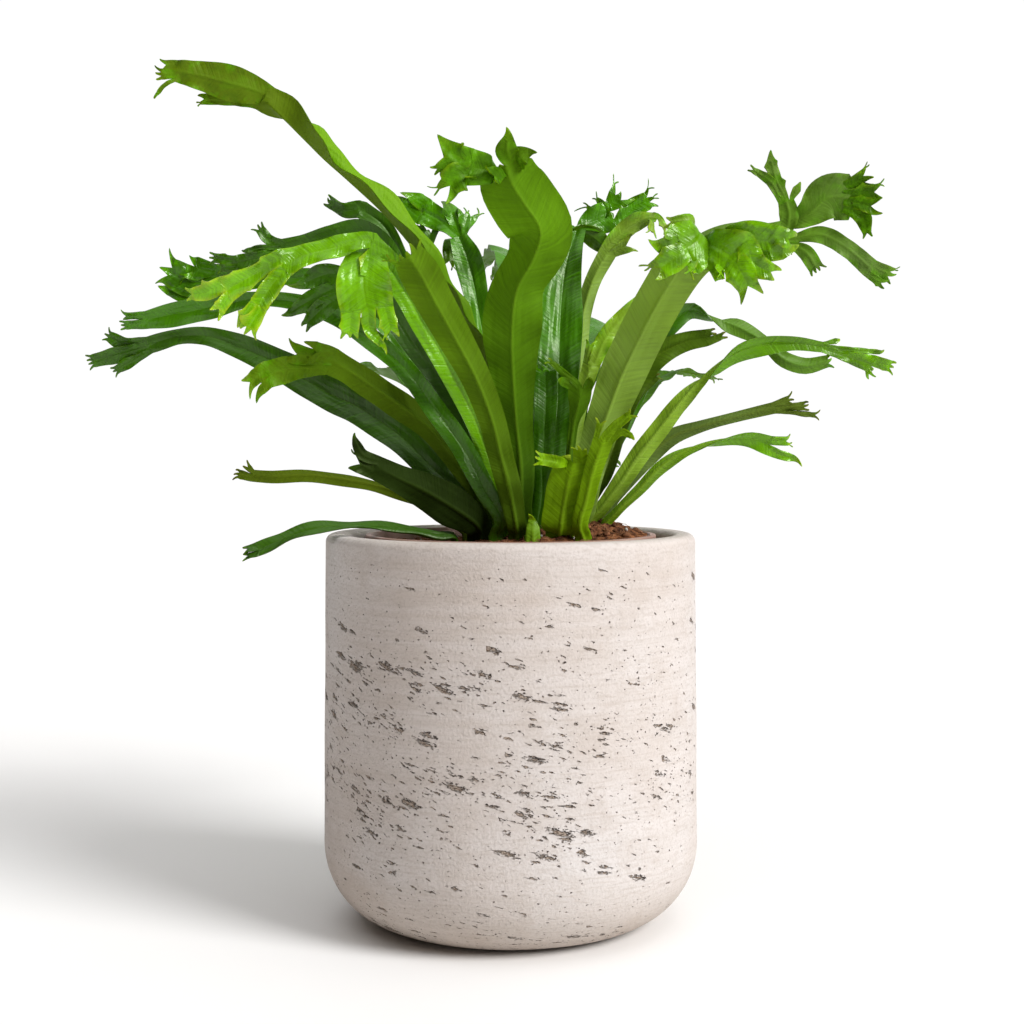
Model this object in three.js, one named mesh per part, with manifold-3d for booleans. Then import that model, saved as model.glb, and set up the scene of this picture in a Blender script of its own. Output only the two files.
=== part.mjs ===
// A crested bird's nest fern in a growing pot, inside a round cover pot.
// Millimetres, +Z up, the viewer of the photo is at -Y.
// The origin is the centre of the pot's flat underside.
import * as THREE from "three";
import { mergeVertices } from "three/addons/utils/BufferGeometryUtils.js";
import Module from "manifold-3d";

const wasm = await Module();
wasm.setup();

// Cover pot
const POT_HEIGHT = 170;
const POT_RADIUS = 82.5;
const POT_RIM_RADIUS = 81.2;
const POT_WALL = 10.5;
const POT_FLOOR = 12;
const FOOT_RADIUS = 50.5;
const FOOT_ROUND_HEIGHT = 35;
const INNER_ROUND = 22;
const RIM_ROUND = 3.5;
const POT_SIDES = 42;

// Growing pot
const GAP = 0.35;
const HOLE_GAP = 0.5;
const LINER_TOP = 169.6;
const LINER_RADIUS = 64;
const LINER_BASE_RADIUS = 45;
const LINER_WALL = 1.4;
const LINER_LIP = 1.6;
const LINER_LIP_HEIGHT = 7;
const LINER_SIDES = 36;
const DRAIN_HOLES = 6;
const DRAIN_RADIUS = 4.5;
const DRAIN_CIRCLE = 28;

// Soil
const SOIL_EDGE = 164.5;
const SOIL_HEAP = 8.5;
const SOIL_HEAP_PLACE = [22, 4];
const SOIL_HEAP_REACH = 34;
const SOIL_LUMP = 0.9;
const SOIL_RINGS = 5;

// Fronds
const BLADE = [0.9, 0.78, 0.66];
const BLADE_STEP = 0.03;
const LOBE_ROOT = 2.5;
const LOBE_TURN = 0.35;
const JOIN_SNAP = 0.06;
const STALK = 2.6;
const STALK_WIDTH = [4.5, 12];
const STALK_DEPTH = 12;
const STALK_STRAIGHT = 2.5;
const STALK_FADE = [12, 55];
const RUN_PARTS = 8;
const WAVE = 1.1;
const WAVE_LENGTH = 26;
const MAIN_STEP = 20;
const LOBE_STEP = 13;
const FINGER = [2.2, 8.5];
const FINGER_REACH = [0.8, 0.9];
const FINGER_SPREAD = 0.6;
const FINGER_CURL = 0.3;

// The photo's camera: its place, its tilt down, its focal length and the column that it faces
const EYE = [0, -750, 212];
const TILT = 0.0438;
const FOCAL = 1700;
const MIDDLE = [510.6, 512];

// Fronds that the photo shows. Each is: name, root [x, y], tone, fold in degrees, stations, end.
// A station is [column, row, depth, width, face]: a pixel of the photo, then how far behind the pot's axis
// the rib lies there and how wide the blade is, both in mm, and the angle by which the top side turns from
// the viewer, 180 being the underside. An end is a count of fingers, or a list of lobes [stations, end].
const FRONDS = [
  ["frond_01_long_left", [-1, -2], "olive", 40, [
    [508, 490, -7, 7, 75], [498, 420, -10, 10, 78], [479, 350, -14, 12, 80], [449, 298, -19, 14, 78],
    [412, 245, -23, 18, 70], [385, 214, -26, 20, 70], [350, 181, -29, 15, 72], [325, 159, -31, 16, 72],
    [309, 143, -33, 25, 76], [289, 123, -35, 19, 120], [264, 99, -37, 15.5, 172]], [
    [[[230, 83, -39, 15, 180], [198, 75, -41, 11.5, 180], [177, 71, -42, 9, 184]], [
      [[[166, 65, -43, 4, 184]], 2],
      [[[161, 74, -43, 4.5, 184]], 3],
      [[[166, 84, -43, 1.6, 184], [157, 94, -43, 1.3, 184]], 1]]],
    [[[222, 99, -36, 5, 182], [204, 99, -36, 4.5, 184]], 2]]],
  ["frond_02_middle_tall", [7, -13], "olive", 8, [
    [524, 520, -15, 8, 180], [521, 470, -18, 12, 180], [516, 420, -22, 15, 180], [513, 375, -27, 20, 180],
    [512, 330, -33, 26, 180], [517, 290, -38, 26, 180], [534, 258, -43, 27, 180], [541, 233, -46, 28, 180],
    [524, 203, -49, 29, 180], [511, 182, -51, 27, 180], [506, 167, -52, 23, 180]], [
    [[[487, 170, -57, 12, 0], [470, 167, -60, 15, 0]], [
      [[[459, 157, -62, 12, 0], [450, 149, -62, 7.5, 0]], 1],
      [[[449, 163, -62, 6, 0], [437, 169, -62, 3.2, 0]], 2],
      [[[459, 176, -62, 12, 0], [450, 186, -62, 9, 0]], 2],
      [[[471, 178, -61, 5, 0]], 1]]],
    [[[494, 176, -59, 8, 0]], 2],
    [[[507, 149, -55, 9.5, 180], [508.5, 139, -56, 5, 180]], 1],
    [[[520, 156, -54, 9, 180], [527, 152.5, -54, 5, 180]], 1]]],
  ["frond_03_back_glossy", [15, 2], "glossy", 12, [
    [546, 500, 6, 9, 0], [553, 450, 12, 14, 0], [557, 410, 18, 17, 0], [559, 365, 24, 20, 0],
    [560, 325, 30, 22, 0], [563, 285, 36, 18, 0], [570, 250, 42, 12, 0], [577, 229, 47, 9, 350]], [
    [[[594, 221, 50, 13, 350], [611, 216, 52, 15, 350]], [
      [[[598, 208, 53, 9, 350]], 2],
      [[[618, 198, 53, 11, 350]], 3],
      [[[634, 208, 53, 10, 350], [648, 200, 53, 8, 350]], 3]]],
    [[[590, 235, 49, 10, 200], [605, 248, 49, 8, 200]], 3]]],
  ["frond_04_right_wide", [27, -11], "pale", 8, [
    [580, 520, -13, 9, 180], [588, 480, -16, 12, 180], [598, 440, -20, 15, 180], [612, 402, -25, 18, 180],
    [621, 378, -28, 20, 180], [634, 350, -32, 20, 180], [650, 318, -36, 20, 180], [667, 288, -41, 20, 180],
    [684, 262, -46, 21, 180], [704, 240, -50, 22, 172]], [
    [[[690, 222, -53, 6, 180], [671, 222, -54, 4, 180]], 2],
    [[[696, 242, -59, 20, 0], [684, 250, -61, 23, 0]], [
      [[[671, 246, -63, 10, 0], [660, 246, -63, 6, 0]], 1],
      [[[672, 260, -63, 11, 0], [661, 268, -63, 9, 0]], 2],
      [[[688, 266, -62, 8, 0]], 2]]],
    [[[724, 251, -61, 20, 0], [733, 257, -62, 24, 0]], [
      [[[722, 270, -63, 8, 0]], 2],
      [[[742, 274, -64, 12, 0], [748, 286, -64, 9, 0]], 2],
      [[[756, 265, -63, 10, 0], [771, 272, -63, 7, 0]], 2]]],
    [[[747, 238, -59, 14, 0], [772, 243, -60, 15, 0]], [
      [[[788, 239, -60, 8, 0]], 2],
      [[[782, 251, -60, 7, 0]], 1]]]]],
  ["frond_05_front_left", [3, -20], "olive", 10, [
    [517, 530, -22, 8, 180], [512, 500, -25, 10, 180], [502, 460, -29, 11, 180], [492, 420, -34, 12, 180],
    [477, 380, -39, 13, 180], [456, 340, -44, 15, 180], [434, 300, -50, 16.5, 180], [419, 272, -55, 17, 180],
    [409, 257, -58, 14, 180]], 5],
  ["frond_06_bright_left", [-1, -9], "bright", 10, [
    [508, 512, -11, 7, 0], [492, 468, -14, 8, 0], [477, 425, -18, 9, 0], [459, 388, -22, 10, 0],
    [439, 350, -26, 11, 0], [420, 318, -30, 11, 0], [404, 290, -34, 11, 0], [386, 266, -39, 14, 10],
    [366, 255, -43, 20, 20]], [
    [[[365, 268, -44.5, 20, 0], [364, 286, -46, 23, 0], [367, 308, -47, 22, 0]], [
      [[[350, 333, -47, 7, 0]], 3],
      [[[371, 332, -47, 5, 0], [383, 345, -48, 2.4, 0]], 1],
      [[[391, 330, -48, 6, 0]], 2]]],
    [[[330, 249, -46, 9.5, 20], [302, 256, -48, 9.5, 20], [284, 263, -50, 12, 10]], [
      [[[254, 274, -51, 7.5, 350], [226, 289, -52, 11.5, 345]], [
        [[[206, 292, -53, 7.5, 340], [192, 294, -53, 5, 340]], 2],
        [[[219, 309, -53, 6, 340]], 2]]],
      [[[272, 286, -51, 8, 10], [259, 306, -52, 8, 10]], [
        [[[243, 318, -53, 4.5, 10]], 1],
        [[[249, 328, -53, 7.5, 10]], 3]]]]]]],
  ["frond_07_low_left", [-14, 2], "dark", 12, [
    [472, 507, 4, 8, 20], [441, 477, 8, 13, 15], [400, 436, 13, 17, 10], [363, 410, 18, 18, 10],
    [326, 392, 24, 17, 10], [283, 367, 30, 15, 5], [240, 347, 36, 12, 5], [205, 336, 40, 9, 0],
    [178, 336, 42, 8, 345], [150, 344, 43, 9, 340]], [
    [[[122, 343, 44, 7, 340], [109, 336, 44, 5, 340]], 3],
    [[[115, 355, 43, 8, 340], [92, 361, 42, 6, 340]], 4],
    [[[128, 363, 42, 5, 340], [116, 370, 42, 4, 340]], 3]]],
  ["frond_08_olive_crest", [-8, -5], "olive", 12, [
    [485, 505, -6, 7, 190], [462, 470, -7, 9, 190], [435, 433, -8, 11, 190], [405, 408, -10, 13, 190],
    [378, 390, -14, 13, 190], [350, 371, -20, 12, 190], [334, 362, -24, 13, 190]], [
    [[[300, 367, -28, 10, 190], [268, 374, -32, 12, 190]], [
      [[[250, 382, -33, 6, 190]], 2],
      [[[262, 390, -33, 4, 190]], 1]]],
    [[[317, 352, -27, 9, 190]], 2],
    [[[297, 354, -29, 9, 190]], 2]]],
  ["frond_09_upper_left", [-2, 9], "dark", 12, [
    [502, 490, 13, 7, 0], [480, 430, 17, 9, 0], [450, 370, 21, 9, 0], [420, 310, 25, 9, 0],
    [400, 275, 27, 9, 0], [385, 248, 29, 11, 0], [362, 233, 31, 13, 0], [330, 236, 33, 10, 0],
    [303, 244, 34, 9, 0], [284, 248, 34, 9, 0]], [
    [[[268, 239, 34, 5, 0], [260, 229, 34, 4.5, 0]], 3],
    [[[258, 248, 34, 2.6, 0], [246, 251, 34, 2, 0]], 1],
    [[[256, 259, 34, 7, 0], [236, 263, 34, 7, 0]], [
      [[[214, 258, 34, 4.5, 0]], 3],
      [[[222, 268, 34, 3.5, 0]], 2]]]]],
  ["frond_10_star_left", [-5, 3.5], "dark", 8, [
    [488, 482, 1, 8, 10], [464, 420, -1, 10, 10], [439, 378, -3, 10, 10], [415, 345, -6, 11, 5],
    [392, 312, -9, 13, 0], [366, 291, -12, 15, 0], [343, 286, -14, 17, 0]], [
    [[[318, 277, -15, 10, 0], [304, 284, -15, 5, 0]], 1],
    [[[308, 302, -15, 8, 0], [290, 313, -15, 3.5, 0]], 1],
    [[[322, 309, -15, 9, 0], [307, 324, -15, 4.5, 0]], 2]]],
  ["frond_11_thin_olive", [-19, -3], "brown", 12, [
    [450, 520, -5, 5, 200], [430, 506, -6, 5, 200], [400, 493, -6, 6, 205], [354, 481, -7, 6, 215],
    [310, 475, -8, 7, 210], [270, 476, -9, 6, 205], [254, 475, -10, 6, 200]], [
    [[[248, 467, -10, 3, 200]], 2],
    [[[239, 474, -10, 4, 200]], 3]]],
  ["frond_12_wide_low", [-13, -12], "deep", 12, [
    [478, 526, -17, 12, 170], [452, 507, -21, 18, 175], [427, 492, -24, 16, 180], [402, 480, -27, 13, 185],
    [378, 468, -30, 11, 190]], [
    [[[362, 454, -32, 5, 190], [355, 440, -33, 2.6, 190]], 1],
    [[[360, 464, -32, 8, 190]], 2]]],
  ["frond_13_over_the_rim", [-24, -13], "dark", 8, [
    [436, 536, -20, 6, 58], [412, 530.5, -22, 6.5, 62], [385, 527.5, -25, 7, 62], [350, 526.5, -28, 7.5, 62],
    [326, 527.5, -29, 8, 58], [300, 533, -29, 8, 50], [275, 543, -28, 8, 45], [259, 550, -27, 7, 40]], [
    [[[248, 549, -27, 3.5, 40]], 2],
    [[[248, 556, -27, 3, 40]], 2]]],
  ["frond_14_antler_right", [24, 7], "olive", 12, [
    [584, 500, 11, 6, 180], [601, 440, 17, 7, 180], [622, 385, 23, 8, 180], [648, 330, 29, 9, 180],
    [675, 280, 34, 9, 180], [705, 240, 38, 8, 180], [736, 229, 39, 7, 170], [768, 232, 39, 9, 172],
    [789, 233, 39, 14, 180]], [
    [[[789, 216, 39, 9, 180], [786, 201, 39, 7.5, 180]], [
      [[[770, 181, 39, 4.5, 180], [753, 170, 39, 2.6, 180]], 2],
      [[[775, 177, 39, 5.5, 180], [771, 160, 39, 4, 180]], 1],
      [[[797, 189, 39, 4, 180]], 1]]],
    [[[809, 213, 37, 13, 180], [828, 198, 35, 21, 180], [849, 197, 34, 21, 180]], [
      [[[864, 179, 33, 9, 10]], 3],
      [[[874, 192, 32, 8, 20]], 2],
      [[[871, 206, 32, 8, 350]], 2],
      [[[862, 216, 33, 8, 0], [867, 233, 32, 4, 0]], 2]]],
    [[[822, 235, 39, 8, 180], [848, 249, 39, 8, 180], [870, 268, 39, 9, 180]], [
      [[[889, 274, 39, 7, 180]], 3],
      [[[881, 283, 39, 4, 180]], 2]]],
    [[[805, 252, 40, 7, 180], [816, 268, 40, 7, 180]], 4]]],
  ["frond_15_narrow_hook", [20, 14], "pale", 12, [
    [570, 490, 19, 5, 180], [575, 430, 25, 6, 180], [580, 370, 33, 7, 180], [584, 310, 40, 8, 180],
    [594, 278, 42, 8, 180], [608, 252, 43, 9, 180]], [
    [[[620, 234, 43, 8, 178], [638, 221, 42, 8, 170], [655, 217, 40, 5, 150]], [
      [[[652, 231, 36, 4, 150]], 3],
      [[[666, 228, 37, 3, 150]], 2]]],
    [[[626, 246, 42, 7, 180]], 2]]],
  ["frond_16_long_right", [34, -4], "pale", 14, [
    [600, 510, -5, 6, 180], [621, 482, -6, 8, 180], [643, 450, -7, 9, 180], [662, 426, -8, 9, 180],
    [680, 403, -9, 8, 180], [697, 384, -10, 7, 140], [715, 367, -11, 9, 70], [738, 352, -12, 10, 35],
    [764, 345, -12, 9, 20], [792, 343, -12, 7, 10], [822, 347, -12, 5, 0]], [
    [[[836, 341, -12, 2.6, 0]], 1],
    [[[852, 350, -12, 2.4, 0], [880, 352, -12, 1.8, 0]], 1],
    [[[848, 357, -12, 5, 0], [872, 364, -12, 8, 0]], [
      [[[890, 366, -12, 5, 0]], 3],
      [[[869, 374, -12, 3, 0]], 2]]]]],
  ["frond_17_olive_right", [40, 3], "brown", 12, [
    [608, 508, 3, 5, 180], [628, 480, 3, 7, 180], [648, 455, 2, 10, 180], [672, 437, 1, 8, 180],
    [702, 426, 0, 5.5, 180], [740, 416, -1, 5, 180], [773, 408, -2, 5.5, 180]], [
    [[[789, 400, -2, 4, 180]], 3],
    [[[804, 406, -2, 4, 180]], 3],
    [[[815, 415, -2, 2.4, 180]], 2]]],
  ["frond_18_lowest_right", [41, -9], "bright", 12, [
    [616, 513, -11, 4, 180], [640, 489, -13, 5, 180], [662, 466, -15, 6, 165], [690, 449, -17, 6, 130],
    [722, 440, -19, 7, 60], [752, 439, -20, 8, 30], [768, 444, -20, 9, 20]], [
    [[[786, 441, -20, 4, 10]], 2],
    [[[781, 455, -20, 4, 10], [793, 458, -20, 3, 10]], 1]]],
  ["frond_19_dark_right", [26.5, -2], "brown", 10, [
    [603, 480, 3, 6, 0], [621, 422, 7, 8, 0], [640, 378, 11, 10, 0], [660, 354, 13, 11, 0],
    [688, 341, 14, 9, 0], [705, 338, 14, 8, 0]], [
    [[[711, 332, 14, 3, 0]], 2],
    [[[722, 336, 14, 3, 0]], 2]]],
  ["frond_20_small_right", [33, 5], "brown", 10, [
    [608, 470, 9, 5, 0], [622, 425, 14, 6, 0], [637, 392, 18, 7, 0], [655, 376, 20, 5, 0]], 3],
  ["frond_21_front_short", [21, -25], "young", 8, [
    [560, 532, -27, 14.5, 180], [564, 505, -30, 17, 180], [569, 480, -33, 17, 180],
    [574, 463, -35, 14, 178]], [
    [[[557, 462, -41, 5, 0], [540, 459, -43, 5, 0]], 3],
    [[[580, 451, -38, 6, 180]], 3]]],
  ["frond_22_front_curly", [31, -29], "young", 10, [
    [580, 528, -31.5, 7, 180], [586, 500, -34.5, 7.5, 180], [594, 468, -38.5, 8, 180],
    [603, 441, -41, 9, 180]], [
    [[[617, 425, -43, 4, 180], [630, 415, -45, 3.2, 180]], 2],
    [[[623, 432, -43, 3, 180], [631, 436, -44, 2.4, 180]], 1],
    [[[600, 424, -43, 2.6, 180]], 2]]],
  ["frond_23_hanging_tip", [24, -18], "olive", 8, [
    [567, 520, -19, 3.5, 180], [569, 480, -20, 4, 180], [571, 445, -21, 4, 180], [575, 418, -23, 5, 180],
    [579, 402, -26, 9.5, 180], [580, 389, -28, 10.5, 180]], [
    [[[565, 374, -30, 2.8, 180], [551, 362, -31, 2, 180]], 2],
    [[[563, 381, -30, 4, 180]], 1],
    [[[590, 382, -29, 4, 180]], 1]]],
  ["frond_24_young_short", [9, -26], "bright", 10, [
    [533, 545, -28, 6.2, 180], [533, 537, -28, 6.4, 180], [533, 530, -28, 5.8, 180],
    [532.6, 525, -28, 5.2, 180], [532.4, 521.8, -28, 4, 180]], 1],
  ["frond_25_glossy_left", [6, 5], "glossy", 14, [
    [512, 490, 9, 6, 0], [500, 430, 13, 7, 0], [489, 370, 19, 8, 0], [481, 325, 23, 9, 0],
    [474, 285, 28, 13, 0], [468, 260, 31, 14, 0], [459, 238, 34, 9, 0]], [
    [[[440, 221, 36, 10, 10], [424, 212, 37, 13, 10]], [
      [[[403, 204, 38, 6, 10], [390, 198, 38, 3, 10]], 1],
      [[[416, 199, 38, 7, 10]], 1]]],
    [[[451, 212, 37, 8, 10]], 1],
    [[[467, 216, 37, 10, 10]], 3],
    [[[450, 247, 40, 7, 180], [449, 261, 40, 5, 180]], 2]]],
  ["frond_26_far_left", [-10, 9], "glossy", 12, [
    [472, 470, 15, 8, 10], [440, 405, 21, 10, 10], [403, 345, 29, 11, 10], [362, 300, 36, 11, 10],
    [320, 279, 42, 9, 10], [280, 278, 46, 8, 10], [246, 281, 49, 10, 10], [218, 281, 51, 16, 10]], [
    [[[196, 269, 52, 12, 10]], 2],
    [[[188, 281, 52, 15, 10], [170, 272, 52, 13, 10]], 3],
    [[[192, 295, 52, 10, 10], [168, 290, 52, 5, 10]], 1]]],
  ["frond_27_green_left", [-6, -18], "glossy", 12, [
    [502, 525, -20, 7, 0], [485, 490, -20, 9, 0], [462, 447, -19, 10, 0], [432, 405, -16, 10, 0],
    [408, 372, -12, 9, 0], [372, 340, -5, 10, 0], [340, 317, 1, 10, 0], [300, 303, 6, 8, 0],
    [255, 299, 11, 7, 0], [210, 307, 15, 11, 350], [178, 313, 17, 12, 350], [148, 319, 18, 9, 340]], [
    [[[126, 316, 18, 3.5, 340]], 2],
    [[[125, 325, 18, 4, 340]], 3]]],
  ["frond_28_narrow_right", [19, -5], "pale", 12, [
    [572, 500, -3, 5, 180], [574, 450, -1, 6, 180], [580, 405, 1, 7, 180], [591, 366, 2, 8, 180]], [
    [[[606, 338, 3, 8, 180], [622, 318, 4, 7, 180], [639, 301, 5, 5, 180]], 2],
    [[[590, 345, 2, 3.5, 180]], 2]]],
  ["frond_29_blunt_glossy", [12, -5], "glossy", 10, [
    [541, 505, -4, 7, 0], [543, 460, -3, 9, 0], [545, 420, -2, 10, 0], [546, 390, 0, 10.5, 0],
    [546, 372, 1, 9.5, 0]], 3],
  ["frond_30_behind_right", [33, 12], "glossy", 12, [
    [600, 480, 20, 5, 0], [625, 425, 29, 6, 0], [650, 370, 37, 7, 0], [670, 326, 40, 9, 0],
    [690, 310, 40, 9, 20], [713, 318, 40, 7, 90], [740, 328, 40, 9, 165], [764, 342, 39, 6, 180],
    [785, 360, 37, 8, 180], [805, 366, 37, 8, 180], [828, 361, 37, 6, 180]], 3],
  ["frond_31_curled_tip", [-6, 19], "dark", 12, [
    [492, 480, 20, 5, 0], [458, 400, 26, 6, 0], [428, 320, 32, 7, 0], [402, 262, 37, 8, 0],
    [382, 224, 40, 8, 0], [362, 210, 41, 9, 0]], [
    [[[344, 210, 41, 7, 340], [330, 202, 41, 6, 340]], 3]]],
  ["frond_32_dark_stalk", [4, 12], "dark", 10, [
    [506, 490, 16, 5, 0], [482, 420, 22, 5, 0], [454, 340, 29, 6, 0], [432, 280, 34, 6, 0],
    [425, 252, 36, 6, 0], [431, 233, 37, 6, 0]], [
    [[[420, 226, 38, 3, 0]], 2],
    [[[438, 226, 38, 3, 0]], 2]]],
];

// Fronds that the photo's view doesn't reach: they lean away from the viewer, behind the others.
// Each is: name, root [x, y], direction in degrees from +X, length, rise at the root, rise at the tip, width.
const REAR_FRONDS = [
  ["frond_33_rear", [12, 12], 96, 215, 74, -8, 24],
  ["frond_34_rear", [1, 21], 106, 190, 64, -22, 22],
  ["frond_35_rear", [12, 22], 88, 205, 60, -20, 24],
  ["frond_36_rear", [24, 21], 76, 190, 66, -25, 22],
  ["frond_37_rear", [-9, 22], 128, 120, 58, 8, 17],
  ["frond_38_rear", [32, 21], 58, 115, 60, 6, 17],
  ["frond_39_rear", [6, 30], 98, 165, 40, -30, 20],
  ["frond_40_rear", [18, 30], 82, 170, 38, -28, 20],
];
const REAR_TONES = ["glossy", "olive", "dark", "glossy"];
const REAR_STATIONS = 7;
const REAR_FOLD = 12;
const REAR_TWIST = 20;
const REAR_CREST_WIDTH = 1.05;
const REAR_LOBE_LENGTH = [20, 10];
const REAR_FINGERS = 4;

const TONES = {
  olive: [0x5f7f1e, 0.5],
  pale: [0x7d9c46, 0.5],
  glossy: [0x3f8a14, 0.3],
  bright: [0x7bb00f, 0.35],
  dark: [0x2f5210, 0.4],
  deep: [0x24370c, 0.5],
  brown: [0x66701f, 0.55],
  young: [0x97b82a, 0.45],
};

// Small helpers for points held as [x, y, z]
const add = (a, b, k = 1) => a.map((v, i) => v + k * b[i]);
const scale = (a, k) => a.map((v) => v * k);
const mix = (a, b, t) => a.map((v, i) => v + (b[i] - v) * t);
const dot = (a, b) => a[0] * b[0] + a[1] * b[1] + a[2] * b[2];
const cross = (a, b) => [a[1] * b[2] - a[2] * b[1], a[2] * b[0] - a[0] * b[2], a[0] * b[1] - a[1] * b[0]];
const unit = (a) => scale(a, 1 / (Math.hypot(a[0], a[1], a[2]) || 1));
const apart = (a, b) => Math.hypot(a[0] - b[0], a[1] - b[1], a[2] - b[2]);
const radians = (degrees) => (degrees * Math.PI) / 180;
const smooth = (t) => {
  const k = Math.min(1, Math.max(0, t));
  return k * k * (3 - 2 * k);
};

// A repeatable draw between 0 and 1
function draw(seed) {
  const v = Math.sin(seed * 12.9898) * 43758.5453;
  return v - Math.floor(v);
}

// The point that the photo shows at a column and row, at a chosen depth behind the pot's axis
function seenAt(column, row, depth) {
  const across = (column - MIDDLE[0]) / FOCAL;
  const rise = (MIDDLE[1] - row) / FOCAL;
  const ray = [
    across,
    Math.cos(TILT) + rise * Math.sin(TILT),
    rise * Math.cos(TILT) - Math.sin(TILT),
  ];
  return add(EYE, ray, (depth - EYE[1]) / ray[1]);
}

// Height of the soil's surface, heaped on the right
function soilHeight(x, y) {
  const away = Math.hypot(x - SOIL_HEAP_PLACE[0], y - SOIL_HEAP_PLACE[1]) / SOIL_HEAP_REACH;
  const lump = Math.sin(x * 0.61 + 1.3) * Math.cos(y * 0.53) + Math.sin(x * 0.23 - y * 0.37);
  return SOIL_EDGE + SOIL_HEAP * Math.exp(-away * away) + (SOIL_LUMP * lump) / 2;
}

// A closed solid from a three.js geometry
function solid(geometry) {
  const bare = geometry.clone();
  for (const name of Object.keys(bare.attributes)) {
    if (name !== "position") bare.deleteAttribute(name);
  }
  const merged = mergeVertices(bare, 1e-4);
  return new wasm.Manifold(
    new wasm.Mesh({
      numProp: 3,
      vertProperties: new Float32Array(merged.attributes.position.array),
      triVerts: new Uint32Array(merged.index.array),
    }),
  );
}

// A three.js geometry from a closed solid
function geometryOf(made) {
  const mesh = made.getMesh();
  const geometry = new THREE.BufferGeometry();
  geometry.setAttribute("position", new THREE.BufferAttribute(new Float32Array(mesh.vertProperties), 3));
  geometry.setIndex(new THREE.BufferAttribute(new Uint32Array(mesh.triVerts), 1));
  return geometry;
}

function turned(profile, sides) {
  const geometry = new THREE.LatheGeometry(profile.map(([r, z]) => new THREE.Vector2(r, z)), sides);
  geometry.rotateX(Math.PI / 2);
  return geometry;
}

// Points on a quarter of an ellipse, from one angle to another in degrees
function arc(centre, radii, from, to, steps) {
  const points = [];
  for (let i = 0; i <= steps; i += 1) {
    const angle = radians(from + ((to - from) * i) / steps);
    points.push([centre[0] + radii[0] * Math.cos(angle), centre[1] + radii[1] * Math.sin(angle)]);
  }
  return points;
}

// The cover pot: rounded foot, nearly straight side, soft rim, hollow
function coverPot() {
  const foot = arc([FOOT_RADIUS, FOOT_ROUND_HEIGHT],
    [POT_RADIUS - FOOT_RADIUS, FOOT_ROUND_HEIGHT], -90, 0, 6);
  const rimZ = POT_HEIGHT - RIM_ROUND;
  const outerRim = arc([POT_RIM_RADIUS - RIM_ROUND, rimZ], [RIM_ROUND, RIM_ROUND], 0, 90, 2);
  const inside = POT_RIM_RADIUS - POT_WALL;
  const innerRim = arc([inside + RIM_ROUND, rimZ], [RIM_ROUND, RIM_ROUND], 90, 180, 2);
  const innerFoot = arc(
    [inside - INNER_ROUND + 1, POT_FLOOR + INNER_ROUND],
    [INNER_ROUND, INNER_ROUND],
    0,
    -90,
    3,
  );
  const profile = [[0, 0], ...foot, ...outerRim, ...innerRim, ...innerFoot, [0, POT_FLOOR]];
  return turned(profile, POT_SIDES);
}

// Radius of the growing pot's inner wall at a height
function linerInside(z) {
  const foot = POT_FLOOR + GAP;
  const rise = (z - foot) / (LINER_TOP - foot);
  return LINER_BASE_RADIUS + (LINER_RADIUS - LINER_LIP - LINER_BASE_RADIUS) * rise - LINER_WALL;
}

// The growing pot: a thin tapered cup with a turned-out lip and drain holes
function growingPot() {
  const foot = POT_FLOOR + GAP;
  const lipZ = LINER_TOP - LINER_LIP_HEIGHT;
  const profile = [
    [0, foot],
    [LINER_BASE_RADIUS, foot],
    [linerInside(lipZ) + LINER_WALL, lipZ],
    [LINER_RADIUS, lipZ],
    [LINER_RADIUS, LINER_TOP],
    [linerInside(LINER_TOP), LINER_TOP],
    [linerInside(foot + LINER_WALL), foot + LINER_WALL],
    [0, foot + LINER_WALL],
  ];
  let cup = solid(turned(profile, LINER_SIDES));
  for (let i = 0; i < DRAIN_HOLES; i += 1) {
    const angle = (2 * Math.PI * i) / DRAIN_HOLES;
    const drill = new THREE.CylinderGeometry(DRAIN_RADIUS, DRAIN_RADIUS, 4 * LINER_WALL, 8);
    drill.rotateX(Math.PI / 2);
    drill.translate(DRAIN_CIRCLE * Math.cos(angle), DRAIN_CIRCLE * Math.sin(angle), foot);
    cup = cup.subtract(solid(drill));
  }
  return geometryOf(cup);
}

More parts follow.
